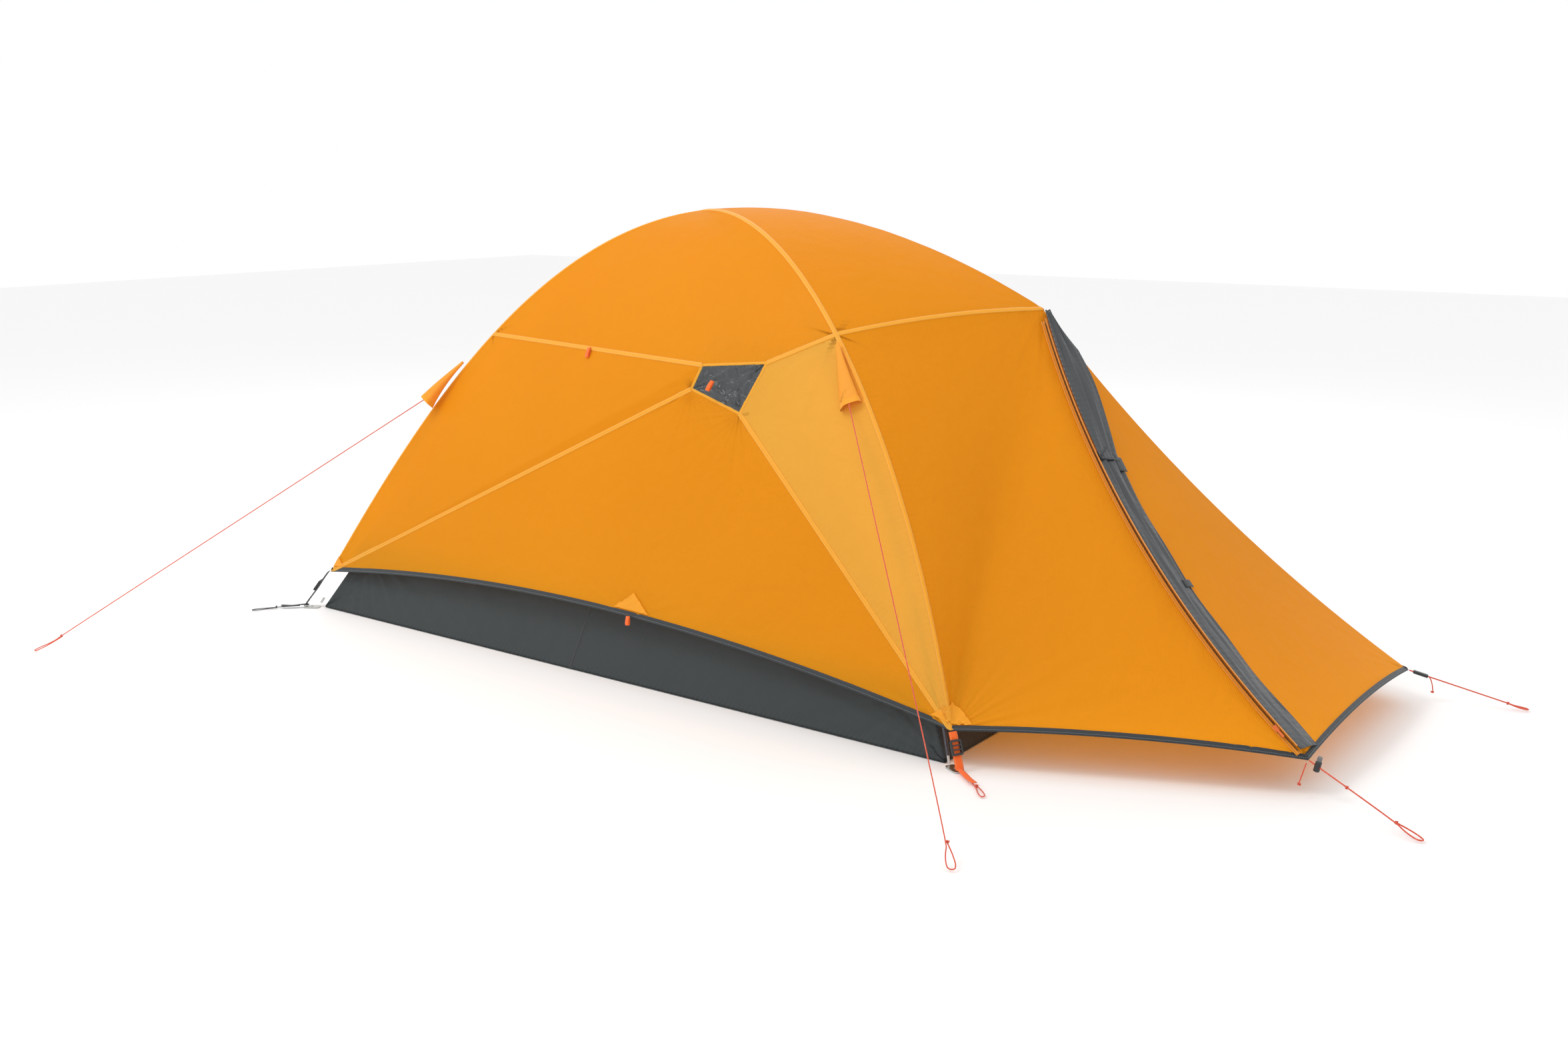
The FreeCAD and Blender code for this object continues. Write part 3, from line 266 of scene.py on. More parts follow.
PATCH = stitched_tape("patch_orange", (0.96, 0.41, 0.016, 1), (1.0, 0.66, 0.14, 1), 0.05, 0.5, 0.25)
BINDING = stitched_tape("hem_binding", (0.030, 0.035, 0.039, 1), (0.16, 0.18, 0.19, 1), 0.014, 0.6)
PIPING = stitched_tape("zip_edge_orange", (0.80, 0.27, 0.015, 1), (0.20, 0.07, 0.01, 1), 0.010, 0.5)
WEAVE = {"width": 0.02, "roughness": 0.6, "rib": 0.0022}
WEBBING = stitched_tape("webbing_orange", (0.98, 0.15, 0.015, 1), (1.0, 0.40, 0.15, 1), **WEAVE)
DARK_WEBBING = stitched_tape("webbing_dark", (0.05, 0.055, 0.06, 1), (0.12, 0.13, 0.14, 1), **WEAVE)
CORAL = braided_cord("cord_coral", (0.66, 0.060, 0.018, 1), (0.85, 0.30, 0.15, 1))
DARK_CORD = braided_cord("cord_dark", (0.05, 0.055, 0.06, 1), (0.3, 0.3, 0.3, 1))
BLACK = moulded_plastic("black_acetal", (0.018, 0.019, 0.020, 1))
GREY_PLASTIC = moulded_plastic("grey_acetal", (0.12, 0.12, 0.125, 1))
POLE = brushed_metal("anodised_pole", (0.10, 0.10, 0.11, 1), 0.35)
STEEL = brushed_metal("bare_metal", (0.62, 0.62, 0.60, 1), 0.35)
ZIP_METAL = brushed_metal("painted_slider", (0.75, 0.16, 0.03, 1), 0.4, 0.3)
ZIP_TEETH = moulded_plastic("zip_coil", (0.03, 0.03, 0.03, 1), 0.35)


def paint(piece, *looks):
    piece.data.materials.clear()
    for look in looks:
        piece.data.materials.append(look)
    return piece


def link(name, data):
    piece = bpy.data.objects.new(name, data)
    scene.collection.objects.link(piece)
    return piece


def settle(piece, nodes, body="tent"):
    """Shows a piece in place of CAD nodes, on a body unless it bends between two."""
    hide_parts(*nodes)
    if body:
        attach(piece, body)


# ---------------- cords
CORD, THICK_CORD = 0.0026, 0.0032
CORDS = {
    "rear_left_guyline": (CORD, 1.299, "taut", CORAL, [
        (-0.746, -0.411, 0.617), (-1.291, -1.224, 0.037), (-1.305, -1.237, 0.022), (-1.330, -1.277, 0.005),
        (-1.322, -1.286, 0.004), (-1.313, -1.286, 0.005), (-1.299, -1.248, 0.020), (-1.291, -1.226, 0.032)]),
    "front_left_guyline": (CORD, 1.236, "taut", CORAL, [
        (0.697, -0.474, 0.736), (1.310, -1.077, 0.038), (1.316, -1.096, 0.022), (1.330, -1.116, 0.006),
        (1.342, -1.117, 0.004), (1.347, -1.107, 0.006), (1.327, -1.088, 0.022), (1.311, -1.078, 0.034)]),
    "vestibule_cord_left": (THICK_CORD, 0.359, "taut", CORAL, [
        (1.751, -0.375, 0.075), (1.951, -0.464, 0.019), (1.968, -0.478, 0.012), (1.996, -0.493, 0.005),
        (2.009, -0.490, 0.004), (2.006, -0.480, 0.005), (1.976, -0.467, 0.012), (1.953, -0.464, 0.018)]),
    "vestibule_cord_right": (THICK_CORD, 0.330, "taut", CORAL, [
        (1.751, 0.375, 0.075), (1.964, 0.441, 0.015), (1.976, 0.450, 0.009), (1.998, 0.459, 0.005),
        (2.009, 0.455, 0.004), (2.005, 0.446, 0.005), (1.984, 0.440, 0.009), (1.966, 0.441, 0.014)]),
    "vestibule_cord_tail_left": (CORD, 0.045, "hanging", CORAL, [
        (1.748, -0.384, 0.072), (1.746, -0.391, 0.058), (1.739, -0.394, 0.030)]),
    "vestibule_cord_tail_right": (CORD, 0.035, "hanging", CORAL, [
        (1.794, 0.391, 0.061), (1.801, 0.395, 0.052), (1.803, 0.396, 0.029)]),
    "rear_left_ground_loop": (CORD, 0.209, "loose", DARK_CORD, [
        (-1.118, -0.584, 0.004), (-1.162, -0.634, 0.003), (-1.187, -0.669, 0.003), (-1.199, -0.690, 0.003),
        (-1.190, -0.697, 0.003), (-1.173, -0.672, 0.003), (-1.158, -0.637, 0.003)]),
    "front_left_ground_loop": (CORD, 0.162, "loose", CORAL, [
        (1.146, -0.696, 0.004), (1.180, -0.727, 0.003), (1.200, -0.756, 0.003), (1.215, -0.769, 0.003),
        (1.220, -0.760, 0.003), (1.200, -0.737, 0.003), (1.181, -0.722, 0.003)]),
}


def make_cord(label, diameter, points, look):
    """A round cord whose line is a smooth spline over its route's points."""
    curve = bpy.data.curves.new(label + "_line", "CURVE")
    curve.dimensions = "3D"
    curve.bevel_depth = diameter / 2
    curve.bevel_resolution = 3
    curve.use_fill_caps = True
    spline = curve.splines.new("NURBS")
    spline.points.add(len(points) - 1)
    for place, spot in zip(spline.points, points):
        place.co = (*spot, 1.0)
    spline.order_u = 3
    spline.use_endpoint_u = True
    spline.resolution_u = 12
    return paint(link(label + "_braid", curve), look)


KNOT_SCALE, KNOT_CORD = 0.0011, 0.0012


def tube_along(points, radius, sides=8, closed=False):
    """Vertices and faces of a round tube that follows a list of points."""
    points = [Vector(spot) for spot in points]
    count = len(points)
    verts, faces = [], []
    normal = None
    for number, spot in enumerate(points):
        after = points[(number + 1) % count] if closed else points[min(number + 1, count - 1)]
        before = points[number - 1] if closed or number else points[0]
        ahead = (after - before).normalized()
        if normal is None:
            normal = ahead.orthogonal().normalized()
        normal = (normal - ahead * normal.dot(ahead)).normalized()
        across = ahead.cross(normal)
        for side in range(sides):
            angle = 2 * math.pi * side / sides
            verts.append(spot + (normal * math.cos(angle) + across * math.sin(angle)) * radius)
    for number in range(count if closed else count - 1):
        for side in range(sides):
            a, b = number * sides + side, number * sides + (side + 1) % sides
            c, d = (a + sides) % len(verts), (b + sides) % len(verts)
            faces.append((a, b, d, c))
    return verts, faces


def mesh_piece(name, verts, faces, look):
    mesh = bpy.data.meshes.new(name)
    mesh.from_pydata([tuple(v) for v in verts], [], faces)
    mesh.update()
    mesh.polygons.foreach_set("use_smooth", [True] * len(mesh.polygons))
    return paint(link(name, mesh), look)


def knot_tube(place, direction):
    """A small overhand knot, tied in cord, with its axis along a direction."""
    turn = Vector(direction).normalized().to_track_quat("Z", "Y")
    spots, count = [], 48
    for step in range(count):
        t = 2 * math.pi * step / count
        spot = Vector((math.sin(t) + 2 * math.sin(2 * t), math.cos(t) - 2 * math.cos(2 * t),
                       -1.4 * math.sin(3 * t)))
        spots.append(Vector(place) + turn @ (spot * KNOT_SCALE))
    return tube_along(spots, KNOT_CORD, closed=True)


def joined(shapes):
    """Several (vertices, faces) as one."""
    verts, faces = [], []
    for some_verts, some_faces in shapes:
        shift = len(verts)
        verts += some_verts
        faces += [tuple(corner + shift for corner in face) for face in some_faces]
    return verts, faces


KNOTS = {
    "rear_left_guyline": [((-1.291, -1.225, 0.036), (-521, -818, -572))],
    "front_left_guyline": [((1.310, -1.077, 0.037), (631, -632, -751))],
    "vestibule_cord_left": [((1.951, -0.464, 0.019), (200, -89, -56)),
                            ((1.840, -0.415, 0.050), (200, -89, -56))],
    "vestibule_cord_right": [((1.964, 0.441, 0.015), (213, 66, -60))],
    "vestibule_cord_tail_left": [((1.739, -0.394, 0.028), (-2, -1, -10))],
    "vestibule_cord_tail_right": [((1.803, 0.396, 0.025), (1, 0, -10))],
    "rear_left_ground_loop": [((-1.160, -0.635, 0.005), (-3, -4, 0))],
    "front_left_ground_loop": [((1.181, -0.725, 0.005), (4, -3, 0))],
}
for label, (diameter, length, lay, look, points) in CORDS.items():
    on_tensioner = label == "vestibule_cord_tail_right"
    body = "cord_tensioner" if on_tensioner else "tent"
    cord = make_cord(label, diameter, points, look)
    settle(cord, [label], body)
    knot = mesh_piece(label + "_knot", *joined([knot_tube(*entry) for entry in KNOTS[label]]), look)
    settle(knot, ["tail_knot_right" if on_tensioner else "cord_knots"], body)


# ---------------- the lines that the cloth follows
def vec(x, y, z):
    return np.array((x, y, z), float)


def unit(vector):
    return vector / np.maximum(np.linalg.norm(vector, axis=-1, keepdims=True), 1e-12)


MIRROR = np.array((1.0, -1.0, 1.0))
UP = vec(0, 0, 1)
TOP = 1.14
CROSSING = vec(-0.08, 0, 0)
FLOOR_REAR = vec(-1.055, -0.545, 0)
FLOOR_FRONT = vec(1.055, -0.635, 0)
REAR_LEG = [(-0.08, TOP), (0.47, TOP), (0.87, 0.466), (1.16, 0)]
FRONT_LEG = [(0.08, TOP), (0.665, TOP), (1.19, 0.60), (1.345, 0)]
INNER_REAR_LEG = [(-0.08, TOP - 0.075), (0.42, TOP - 0.075), (0.79, 0.44), (1.117, 0)]
INNER_FRONT_LEG = [(0.08, TOP - 0.075), (0.60, TOP - 0.075), (1.08, 0.52), (1.30, 0)]


def leg(controls, corner):
    """The line over a main pole's left leg, as a function of an array of places from 0 to 1."""
    heading = unit(corner - CROSSING)

    def at(t):
        t = np.atleast_1d(t)[:, None]
        a, b, c, d = (np.array(spot) for spot in controls)
        flat = a * (1 - t) ** 3 + b * 3 * t * (1 - t) ** 2 + c * 3 * t * t * (1 - t) + d * t ** 3
        return CROSSING + heading * flat[:, :1] + UP * flat[:, 1:]
    return at


rear_ridge = leg(REAR_LEG, FLOOR_REAR)
front_ridge = leg(FRONT_LEG, FLOOR_FRONT)
REAR_CORNER_T, FRONT_CORNER_T, REAR_SEAM_T, BROW_T = 0.925, 0.955, 0.46, 0.435
REAR_TOP_T, FRONT_TOP_T = 0.049, -0.043
FLY_REAR = rear_ridge(REAR_CORNER_T)[0]
FLY_FRONT = front_ridge(FRONT_CORNER_T)[0]
SEAM_TOP = rear_ridge(REAR_SEAM_T)[0]
BROW_CROSS = front_ridge(BROW_T)[0]
BROW_PEAK = vec(0.939, 0, 0.922)
GUSSET = [vec(0.216, -0.432, 0.722), vec(0.246, -0.426, 0.782), vec(0.437, -0.424, 0.800),
          vec(0.372, -0.446, 0.676)]
STAKE_CORNER = vec(1.748, -0.374, 0.076)
ZIP_MIDDLE = vec(1.250, -0.196, 0.506)
FRONT_SAG = vec(1.290, -0.162, 0.494)
BODY_MIDDLE = vec(0.15, 0, 0.35)
BROW_BULGE = 0.016


def line(a, b):
    return lambda t: a + (b - a) * np.atleast_1d(t)[:, None]


def straight_over(spot):
    """The straight line from a spot on the left to its mirror image on the right."""
    return line(spot, spot * MIRROR)


def mirror(curve):
    return lambda t: curve(t) * MIRROR


def span(curve, first, last):
    return lambda t: curve(first + (last - first) * np.atleast_1d(t))


def through(points):
    """A run through a few points, at an even pace."""
    lengths = [0.0] + [float(np.linalg.norm(b - a)) for a, b in zip(points, points[1:])]
    marks = np.cumsum(lengths) / sum(lengths)
    table = np.array(points)
    return lambda t: np.stack([np.interp(np.atleast_1d(t), marks, table[:, axis]) for axis in range(3)], 1)


def sagging(a, b, rise):
    """A hem cut in a hollow curve, raised by rise at its middle."""
    def at(t):
        t = np.atleast_1d(t)[:, None]
        return a + (b - a) * t + UP * (4 * rise) * t * (1 - t)
    return at


def arc(a, middle, b):
    """The circular arc through three points."""
    first, second = middle - a, b - a
    normal = np.cross(first, second)
    centre = a + (np.cross(normal, first) * (second @ second)
                  + np.cross(second, normal) * (first @ first)) / (2 * normal @ normal)
    start = a - centre
    side = np.cross(unit(normal), start)
    end = b - centre
    sweep = math.atan2(end @ unit(side), end @ unit(start))
    return lambda t: (centre + start * np.cos(np.atleast_1d(t) * sweep)[:, None]
                      + side * np.sin(np.atleast_1d(t) * sweep)[:, None])


def brow_arch(t):
    """The brow ridge, from the left crossing over the peak to the right crossing."""
    t = np.atleast_1d(t)
    share = (np.abs(t - 0.5) * 2)[:, None]
    cross = np.where((t < 0.5)[:, None], BROW_CROSS, BROW_CROSS * MIRROR)
    bulge = np.array((0.5, 0, 0.87)) * BROW_BULGE * 4 * share * (1 - share)
    return BROW_PEAK + (cross - BROW_PEAK) * share + bulge


half_brow = span(brow_arch, 0.0, 0.5)
SIDE_HEM = sagging(FLY_REAR, FLY_FRONT, 0.082)
REAR_HEM = sagging(FLY_REAR, FLY_REAR * MIRROR, 0.070)
DOOR_HEM = sagging(FLY_FRONT, STAKE_CORNER, 0.014)
STAKE_HEM = sagging(STAKE_CORNER, STAKE_CORNER * MIRROR, 0.022)
ZIP_CURVE = arc(BROW_PEAK, ZIP_MIDDLE, STAKE_CORNER)
RIGHT_CURVE = arc(BROW_PEAK, FRONT_SAG * MIRROR, STAKE_CORNER * MIRROR)


# ---------------- cloth
def steps(length, pitch=0.009):
    """Even places from 0 to 1, a pitch apart, with at least five of them."""
    return np.linspace(0, 1, max(4, round(length / pitch)) + 1)


def length_of(curve):
    spots = curve(np.linspace(0, 1, 25))
    return float(np.linalg.norm(np.diff(spots, axis=0), axis=1).sum())


def fan(left, right, end, pitch=0.009):
    """A grid that fans out from the point where left and right begin."""
    v = steps(max(length_of(left), length_of(right)), pitch)
    u = steps(length_of(end), pitch)
    bend = end(u) - line(end(0)[0], end(1)[0])(u)
    ruled = left(v)[:, None] + (right(v) - left(v))[:, None] * u[None, :, None]
    return ruled + bend[None] * v[:, None, None]


def four_sided(top, bottom, left, right, pitch=0.009):
    """A grid between four edges; left and right run from top to bottom."""
    v = steps(max(length_of(left), length_of(right)), pitch)[:, None, None]
    flat_u = steps(max(length_of(top), length_of(bottom)), pitch)
    u = flat_u[None, :, None]
    up, low = top(flat_u)[None], bottom(flat_u)[None]
    before, after = left(v[:, 0, 0])[:, None], right(v[:, 0, 0])[:, None]
    corners = ((up[:, :1] * (1 - u) + up[:, -1:] * u) * (1 - v)
               + (low[:, :1] * (1 - u) + low[:, -1:] * u) * v)
    return up * (1 - v) + low * v + before * (1 - u) + after * u - corners


def outward_normals(grid, inside=BODY_MIDDLE):
    normal = unit(np.cross(np.gradient(grid, axis=0), np.gradient(grid, axis=1)))
    normal[0] = normal[1]
    middle = (grid.shape[0] // 2, grid.shape[1] // 2)
    if normal[middle] @ (grid[middle] - inside) < 0:
        normal = -normal
    return normal


def runs(grid):
    """For each point, how far down its column and how far over its row it is."""
    return (np.linalg.norm(np.diff(grid, axis=0, prepend=grid[:1]), axis=2).cumsum(0),
            np.linalg.norm(np.diff(grid, axis=1, prepend=grid[:, :1]), axis=2).cumsum(1))


def rim_distance(grid):
    """For each point, how far along the nearest edge it is and how far in from that edge."""
    down, over = runs(grid)
    to_row = np.minimum(down, down[-1:] - down)
    to_column = np.minimum(over, over[:, -1:] - over)
    beside = to_column < to_row
    return np.where(beside, down, over), np.minimum(to_row, to_column)


def ease(value):
    value = np.clip(value, 0, 1)
    return value * value * (3 - 2 * value)


def field(grid, scale, seed):
    """Smooth noise from -1 to 1 at each point of a grid."""
    flat = grid.reshape(-1, 3) * scale + seed
    return np.array([noise.noise(spot) for spot in flat.tolist()]).reshape(grid.shape[:2])


def with_relief(grid, broad=0.003, fine=0.0008, pulls=(), fold=0.0014, seed=1.0):
    """Give taut cloth its shallow hollows, its small creases and the folds that fan out of corners."""
    normal = outward_normals(grid)
    _, near = rim_distance(grid)
    lift = broad * field(grid, 3.2, seed) * ease(near / 0.09)
    lift = lift + fine * field(grid, 22.0, seed + 5) * ease(near / 0.03)
    plane = normal[grid.shape[0] // 2, grid.shape[1] // 2]
    first = unit(np.cross(plane, (0.3, 0.2, 1.0)))
    second = np.cross(plane, first)
    for number, (spot, reach) in enumerate(pulls):
        away = grid - spot
        far = np.linalg.norm(away, axis=2)
        angle = np.arctan2(away @ second, away @ first)
        waves = np.sin(angle * 23 + number) * 0.6 + np.sin(angle * 41 + 2 * number) * 0.4
        strength = ease(far / 0.03) * np.exp(-far / reach) * ease(near / 0.012)
        lift = lift + fold * waves * strength
    return grid + normal * lift[..., None]


def columns_of(line_at, count=5):
    """A grid whose columns are the lines at even shares of the way across."""
    return np.array([line_at(share) for share in np.linspace(0, 1, count)]).transpose(1, 0, 2)


def relaxed(grid, passes):
    """Round off a crease inside a grid, as taut cloth does; the rim stays."""
    grid = grid.copy()
    for _ in range(passes):
        middle = (grid[1:-1, :-2] + grid[1:-1, 2:] + grid[:-2, 1:-1] + grid[2:, 1:-1]) / 4
        grid[1:-1, 1:-1] = middle
    return grid


class Cloth:
    """Panels gathered into one mesh, with flat cloth coordinates and a look for each panel."""

    def __init__(self):
        self.points, self.faces, self.cloth, self.rim, self.looks = [], [], [], [], []

    def add(self, grid, look=0, inside=BODY_MIDDLE, strip=False):
        rows, columns = grid.shape[:2]
        shift = len(self.points)
        self.points += grid.reshape(-1, 3).tolist()
        normal = outward_normals(grid, inside)
        plane = normal[rows // 2, columns // 2]
        run, near = rim_distance(grid)
        if strip:
            down, over = runs(grid)
            flat = np.stack([down, over - over[:, -1:] / 2], 2)
        else:
            first = unit(np.cross(plane, (0.0, 0.0, 1.0) if abs(plane[2]) < 0.9 else (0.0, 1.0, 0.0)))
            flat = np.stack([grid @ first, grid @ np.cross(plane, first)], 2)
        self.cloth += flat.reshape(-1, 2).tolist()
        self.rim += np.stack([run, near], 2).reshape(-1, 2).tolist()
        middle = grid[rows // 2, columns // 2]
        beside = grid[rows // 2, columns // 2 + 1 if columns > 2 else 1]
        forward = np.cross(grid[rows // 2 + 1, columns // 2] - middle, beside - middle) @ plane > 0
        for row in range(rows - 1):
            for column in range(columns - 1):
                a = shift + row * columns + column
                corners = (a, a + columns, a + columns + 1, a + 1)
                self.faces.append(corners if forward else corners[::-1])
                self.looks.append(look)
        return self

    def both_sides(self, grid, look=0, **kind):
        self.add(grid, look, **kind)
        return self.add(grid * MIRROR, look, **kind)

    def piece(self, name, *looks):
        mesh = bpy.data.meshes.new(name)
        mesh.from_pydata(self.points, [], self.faces)
        corners = np.zeros(len(mesh.loops), np.int32)
        mesh.loops.foreach_get("vertex_index", corners)
        for layer, table in (("cloth", self.cloth), ("rim", self.rim)):
            values = np.array(table, np.float32)[corners]
            mesh.uv_layers.new(name=layer).data.foreach_set("uv", values.ravel())
        mesh.polygons.foreach_set("use_smooth", [True] * len(mesh.polygons))
        piece = paint(link(name, mesh), *looks)
        mesh.polygons.foreach_set("material_index", self.looks)
        mesh.update()
        return piece

    def area(self):
        points = np.array(self.points)
        quads = points[np.array(self.faces)]
        crossed = np.cross(quads[:, 2] - quads[:, 0], quads[:, 3] - quads[:, 1])
        return float(np.linalg.norm(crossed, axis=1).sum() / 2)


# ---------------- the fly
PALE_LOOK, GREY_LOOK = 1, 2
HEM_MIDDLE = SIDE_HEM(0.56)[0]
fly = Cloth()
fly.both_sides(with_relief(four_sided(
    line(GUSSET[0], GUSSET[3]), SIDE_HEM, line(GUSSET[0], FLY_REAR), line(GUSSET[3], FLY_FRONT)),
    0.005, 0.0008, [(FLY_FRONT, 0.22), (FLY_REAR, 0.2), (HEM_MIDDLE, 0.12), (GUSSET[0], 0.12),
                    (GUSSET[3], 0.12)], seed=2.0))
fly.both_sides(with_relief(fan(
    span(rear_ridge, REAR_CORNER_T, REAR_SEAM_T), line(FLY_REAR, GUSSET[0]),
    through([SEAM_TOP, GUSSET[1], GUSSET[0]])),
    0.004, 0.0008, [(FLY_REAR, 0.2), (GUSSET[0], 0.14)], seed=3.0))
fly.both_sides(with_relief(fan(
    span(rear_ridge, REAR_TOP_T, REAR_SEAM_T), span(front_ridge, FRONT_TOP_T, BROW_T),
    through([SEAM_TOP, GUSSET[1], GUSSET[2], BROW_CROSS])),
    0.004, 0.0007, [(GUSSET[1], 0.12), (GUSSET[2], 0.12), (BROW_CROSS, 0.12)], seed=4.0))
fly.both_sides(with_relief(fan(
    line(FLY_FRONT, GUSSET[3]), span(front_ridge, FRONT_CORNER_T, BROW_T),
    through([GUSSET[3], GUSSET[2], BROW_CROSS])),
    0.004, 0.001, [(FLY_FRONT, 0.3), (BROW_CROSS, 0.12), (GUSSET[3], 0.1)], 0.002, 5.0), PALE_LOOK)
fly.both_sides(with_relief(four_sided(
    line(GUSSET[1], GUSSET[2]), line(GUSSET[0], GUSSET[3]),
    line(GUSSET[1], GUSSET[0]), line(GUSSET[2], GUSSET[3]), 0.004),
    0.008, 0.0045, [(GUSSET[0], 0.09), (GUSSET[2], 0.09), (GUSSET[3], 0.09)], 0.0045, 6.0), GREY_LOOK)
fly.add(with_relief(fan(
    span(front_ridge, FRONT_TOP_T, BROW_T), mirror(span(front_ridge, FRONT_TOP_T, BROW_T)), brow_arch),
    0.003, 0.0006, [(BROW_PEAK, 0.14)], seed=7.0))
REAR_SPLIT_T = 0.5
rear_split = straight_over(rear_ridge(REAR_SPLIT_T)[0])
high_rear = span(rear_ridge, REAR_TOP_T, REAR_SPLIT_T)
low_rear = span(rear_ridge, REAR_SPLIT_T, REAR_CORNER_T)
fly.add(with_relief(fan(high_rear, mirror(high_rear), rear_split), seed=8.0))
fly.add(with_relief(four_sided(rear_split, REAR_HEM, low_rear, mirror(low_rear)),
                    0.004, 0.0008, [(FLY_REAR, 0.2), (FLY_REAR * MIRROR, 0.2)], seed=9.0))


FOLD_PASSES = 260


def fold_line(curve):
    """The shoulder and the panel beside the zip, as one cloth over the line between them."""
    shoulder = fan(span(front_ridge, FRONT_CORNER_T, BROW_T), line(FLY_FRONT, BROW_PEAK), half_brow)
    panel = fan(line(FLY_FRONT, BROW_PEAK), DOOR_HEM, curve)
    rows = max(len(shoulder), len(panel))
    places = np.linspace(0, 1, rows)
    parts = []
    for grid in (shoulder, panel):
        marks = np.linspace(0, 1, len(grid))
        even = np.stack([[np.interp(places, marks, grid[:, column, axis]) for axis in range(3)]
                         for column in range(grid.shape[1])], 0)
        parts.append(even.transpose(2, 0, 1))
    return relaxed(np.concatenate([parts[0], parts[1][:, 1:]], 1), FOLD_PASSES)


PANEL_PULLS = [(FLY_FRONT, 0.25), (STAKE_CORNER, 0.25), (BROW_PEAK, 0.16), (BROW_CROSS, 0.1)]
fly.add(with_relief(fold_line(mirror(RIGHT_CURVE)) * MIRROR, 0.005, 0.0009,
                    [(spot * MIRROR, reach) for spot, reach in PANEL_PULLS], seed=10.0))
fly.add(with_relief(fan(ZIP_CURVE, RIGHT_CURVE, STAKE_HEM), 0.004, 0.0009,
                    [(STAKE_CORNER, 0.2), (STAKE_CORNER * MIRROR, 0.2), (BROW_PEAK, 0.16)], seed=11.0))
fly_piece = fly.piece("fly_canopy", ORANGE, PALE, GREY)
FLY_PAIRS = ("fly_side", "fly_rear_side", "fly_roof", "fly_gore")
settle(fly_piece, [name + side for name in FLY_PAIRS for side in ("_left", "_right")]
       + ["fly_gussets", "fly_roof_front", "fly_rear_wall", "vestibule_front", "vestibule_side_right",
          "vestibule_shoulder_right"])

door = Cloth()
door.add(with_relief(fold_line(ZIP_CURVE), 0.006, 0.0009, PANEL_PULLS, seed=12.0))
door_piece = door.piece("vestibule_left_panel", ORANGE)
settle(door_piece, ["vestibule_shoulder", "vestibule_door"], None)

# The line from the front corner to the peak, along which the left panel folds when its zip is open, and the
# way across the panel from it.
HINGE = unit(BROW_PEAK - FLY_FRONT)
to_door = STAKE_CORNER - FLY_FRONT
to_door = unit(to_door - HINGE * (to_door @ HINGE))


# ---------------- what is sewn on the fly
OUTSIDE = BVHTree.FromPolygons(*joined([(cloth.points, cloth.faces) for cloth in (fly, door)]))


def on_fly(spot, lift=0.0):
    """The nearest place on the fly to a spot, raised from the cloth, and the way out of it."""
    place, normal, _, _ = OUTSIDE.find_nearest(Vector(spot))
    if normal.dot(place - Vector(BODY_MIDDLE)) < 0:
        normal = -normal
    return np.array(place + normal * lift), np.array(normal)


SEAM_PROFILE = ((-0.52, -0.2), (-0.47, 0.8), (-0.2, 1.0), (0.0, 0.8), (0.2, 1.0), (0.47, 0.8), (0.52, -0.2))
SEAM_RIPPLE = 0.0002


def sewn_strip(curve, width, height, pitch=0.006):
    """A strip that lies along a seam and follows the cloth on both sides of it."""
    spots = curve(steps(length_of(curve), pitch))
    ahead = unit(np.gradient(spots, axis=0))
    normals = []
    for spot, run in zip(spots, ahead):
        side = unit(np.cross(run, on_fly(spot)[1])) * width
        normals.append(on_fly(spot + side)[1] + on_fly(spot - side)[1])
    padded = np.pad(unit(np.array(normals)), ((3, 3), (0, 0)), "edge")
    normals = unit(sum(padded[shift:shift + len(spots)] for shift in range(7)))
    rows = []
    for number, (spot, run, normal) in enumerate(zip(spots, ahead, normals)):
        side = unit(np.cross(run, normal))
        ripple = SEAM_RIPPLE * math.sin(number * 2.3)
        rows.append([on_fly(spot + side * share * width, rise * (height + ripple))[0]
                     for share, rise in SEAM_PROFILE])
    return np.array(rows)


SEAM_WIDTH, SEAM_HEIGHT = 0.012, 0.0018
seams = Cloth()
for curve in (span(rear_ridge, REAR_TOP_T, REAR_CORNER_T), span(front_ridge, FRONT_TOP_T, BROW_T),
              line(SEAM_TOP, GUSSET[1]), line(GUSSET[0], FLY_REAR), line(GUSSET[3], FLY_FRONT),
              line(GUSSET[2], BROW_CROSS), half_brow, span(front_ridge, BROW_T, FRONT_CORNER_T)):
    seams.both_sides(sewn_strip(curve, SEAM_WIDTH, SEAM_HEIGHT), strip=True)
for first, second in zip(GUSSET, GUSSET[1:] + GUSSET[:1]):
    seams.both_sides(sewn_strip(line(first, second), 0.007, 0.0009, 0.004), strip=True)
seam_piece = seams.piece("fly_seams", SEAM)


PATCH_LIFT, PATCH_STEPS = 0.0028, 14


def sewn_patch(a, b, c):
    """A three-cornered reinforcement that lies on the fly."""
    shares = np.arange(PATCH_STEPS + 1) / PATCH_STEPS
    return np.array([[on_fly(a + (b - a) * v + (c - b) * v * u, PATCH_LIFT)[0] for u in shares]
                     for v in shares])


ABOVE_HEM = vec(0, 0.002, 0.0155)
patches = Cloth()
patches.both_sides(sewn_patch(HEM_MIDDLE + vec(0, 0, 0.062), *(SIDE_HEM((0.533, 0.587)) + ABOVE_HEM)))
for corner, edge, place in ((FLY_FRONT, SIDE_HEM, 0.975), (FLY_FRONT, DOOR_HEM, 0.06),
                            (FLY_REAR, SIDE_HEM, 0.025)):
    patches.both_sides(sewn_patch(corner + vec(0, 0.02, 0.060), corner + ABOVE_HEM,
                                  edge(place)[0] + ABOVE_HEM))
patch_piece = patches.piece("fly_reinforcements", PATCH)

BINDING_WIDTH, BINDING_HALF = 0.012, 0.0013


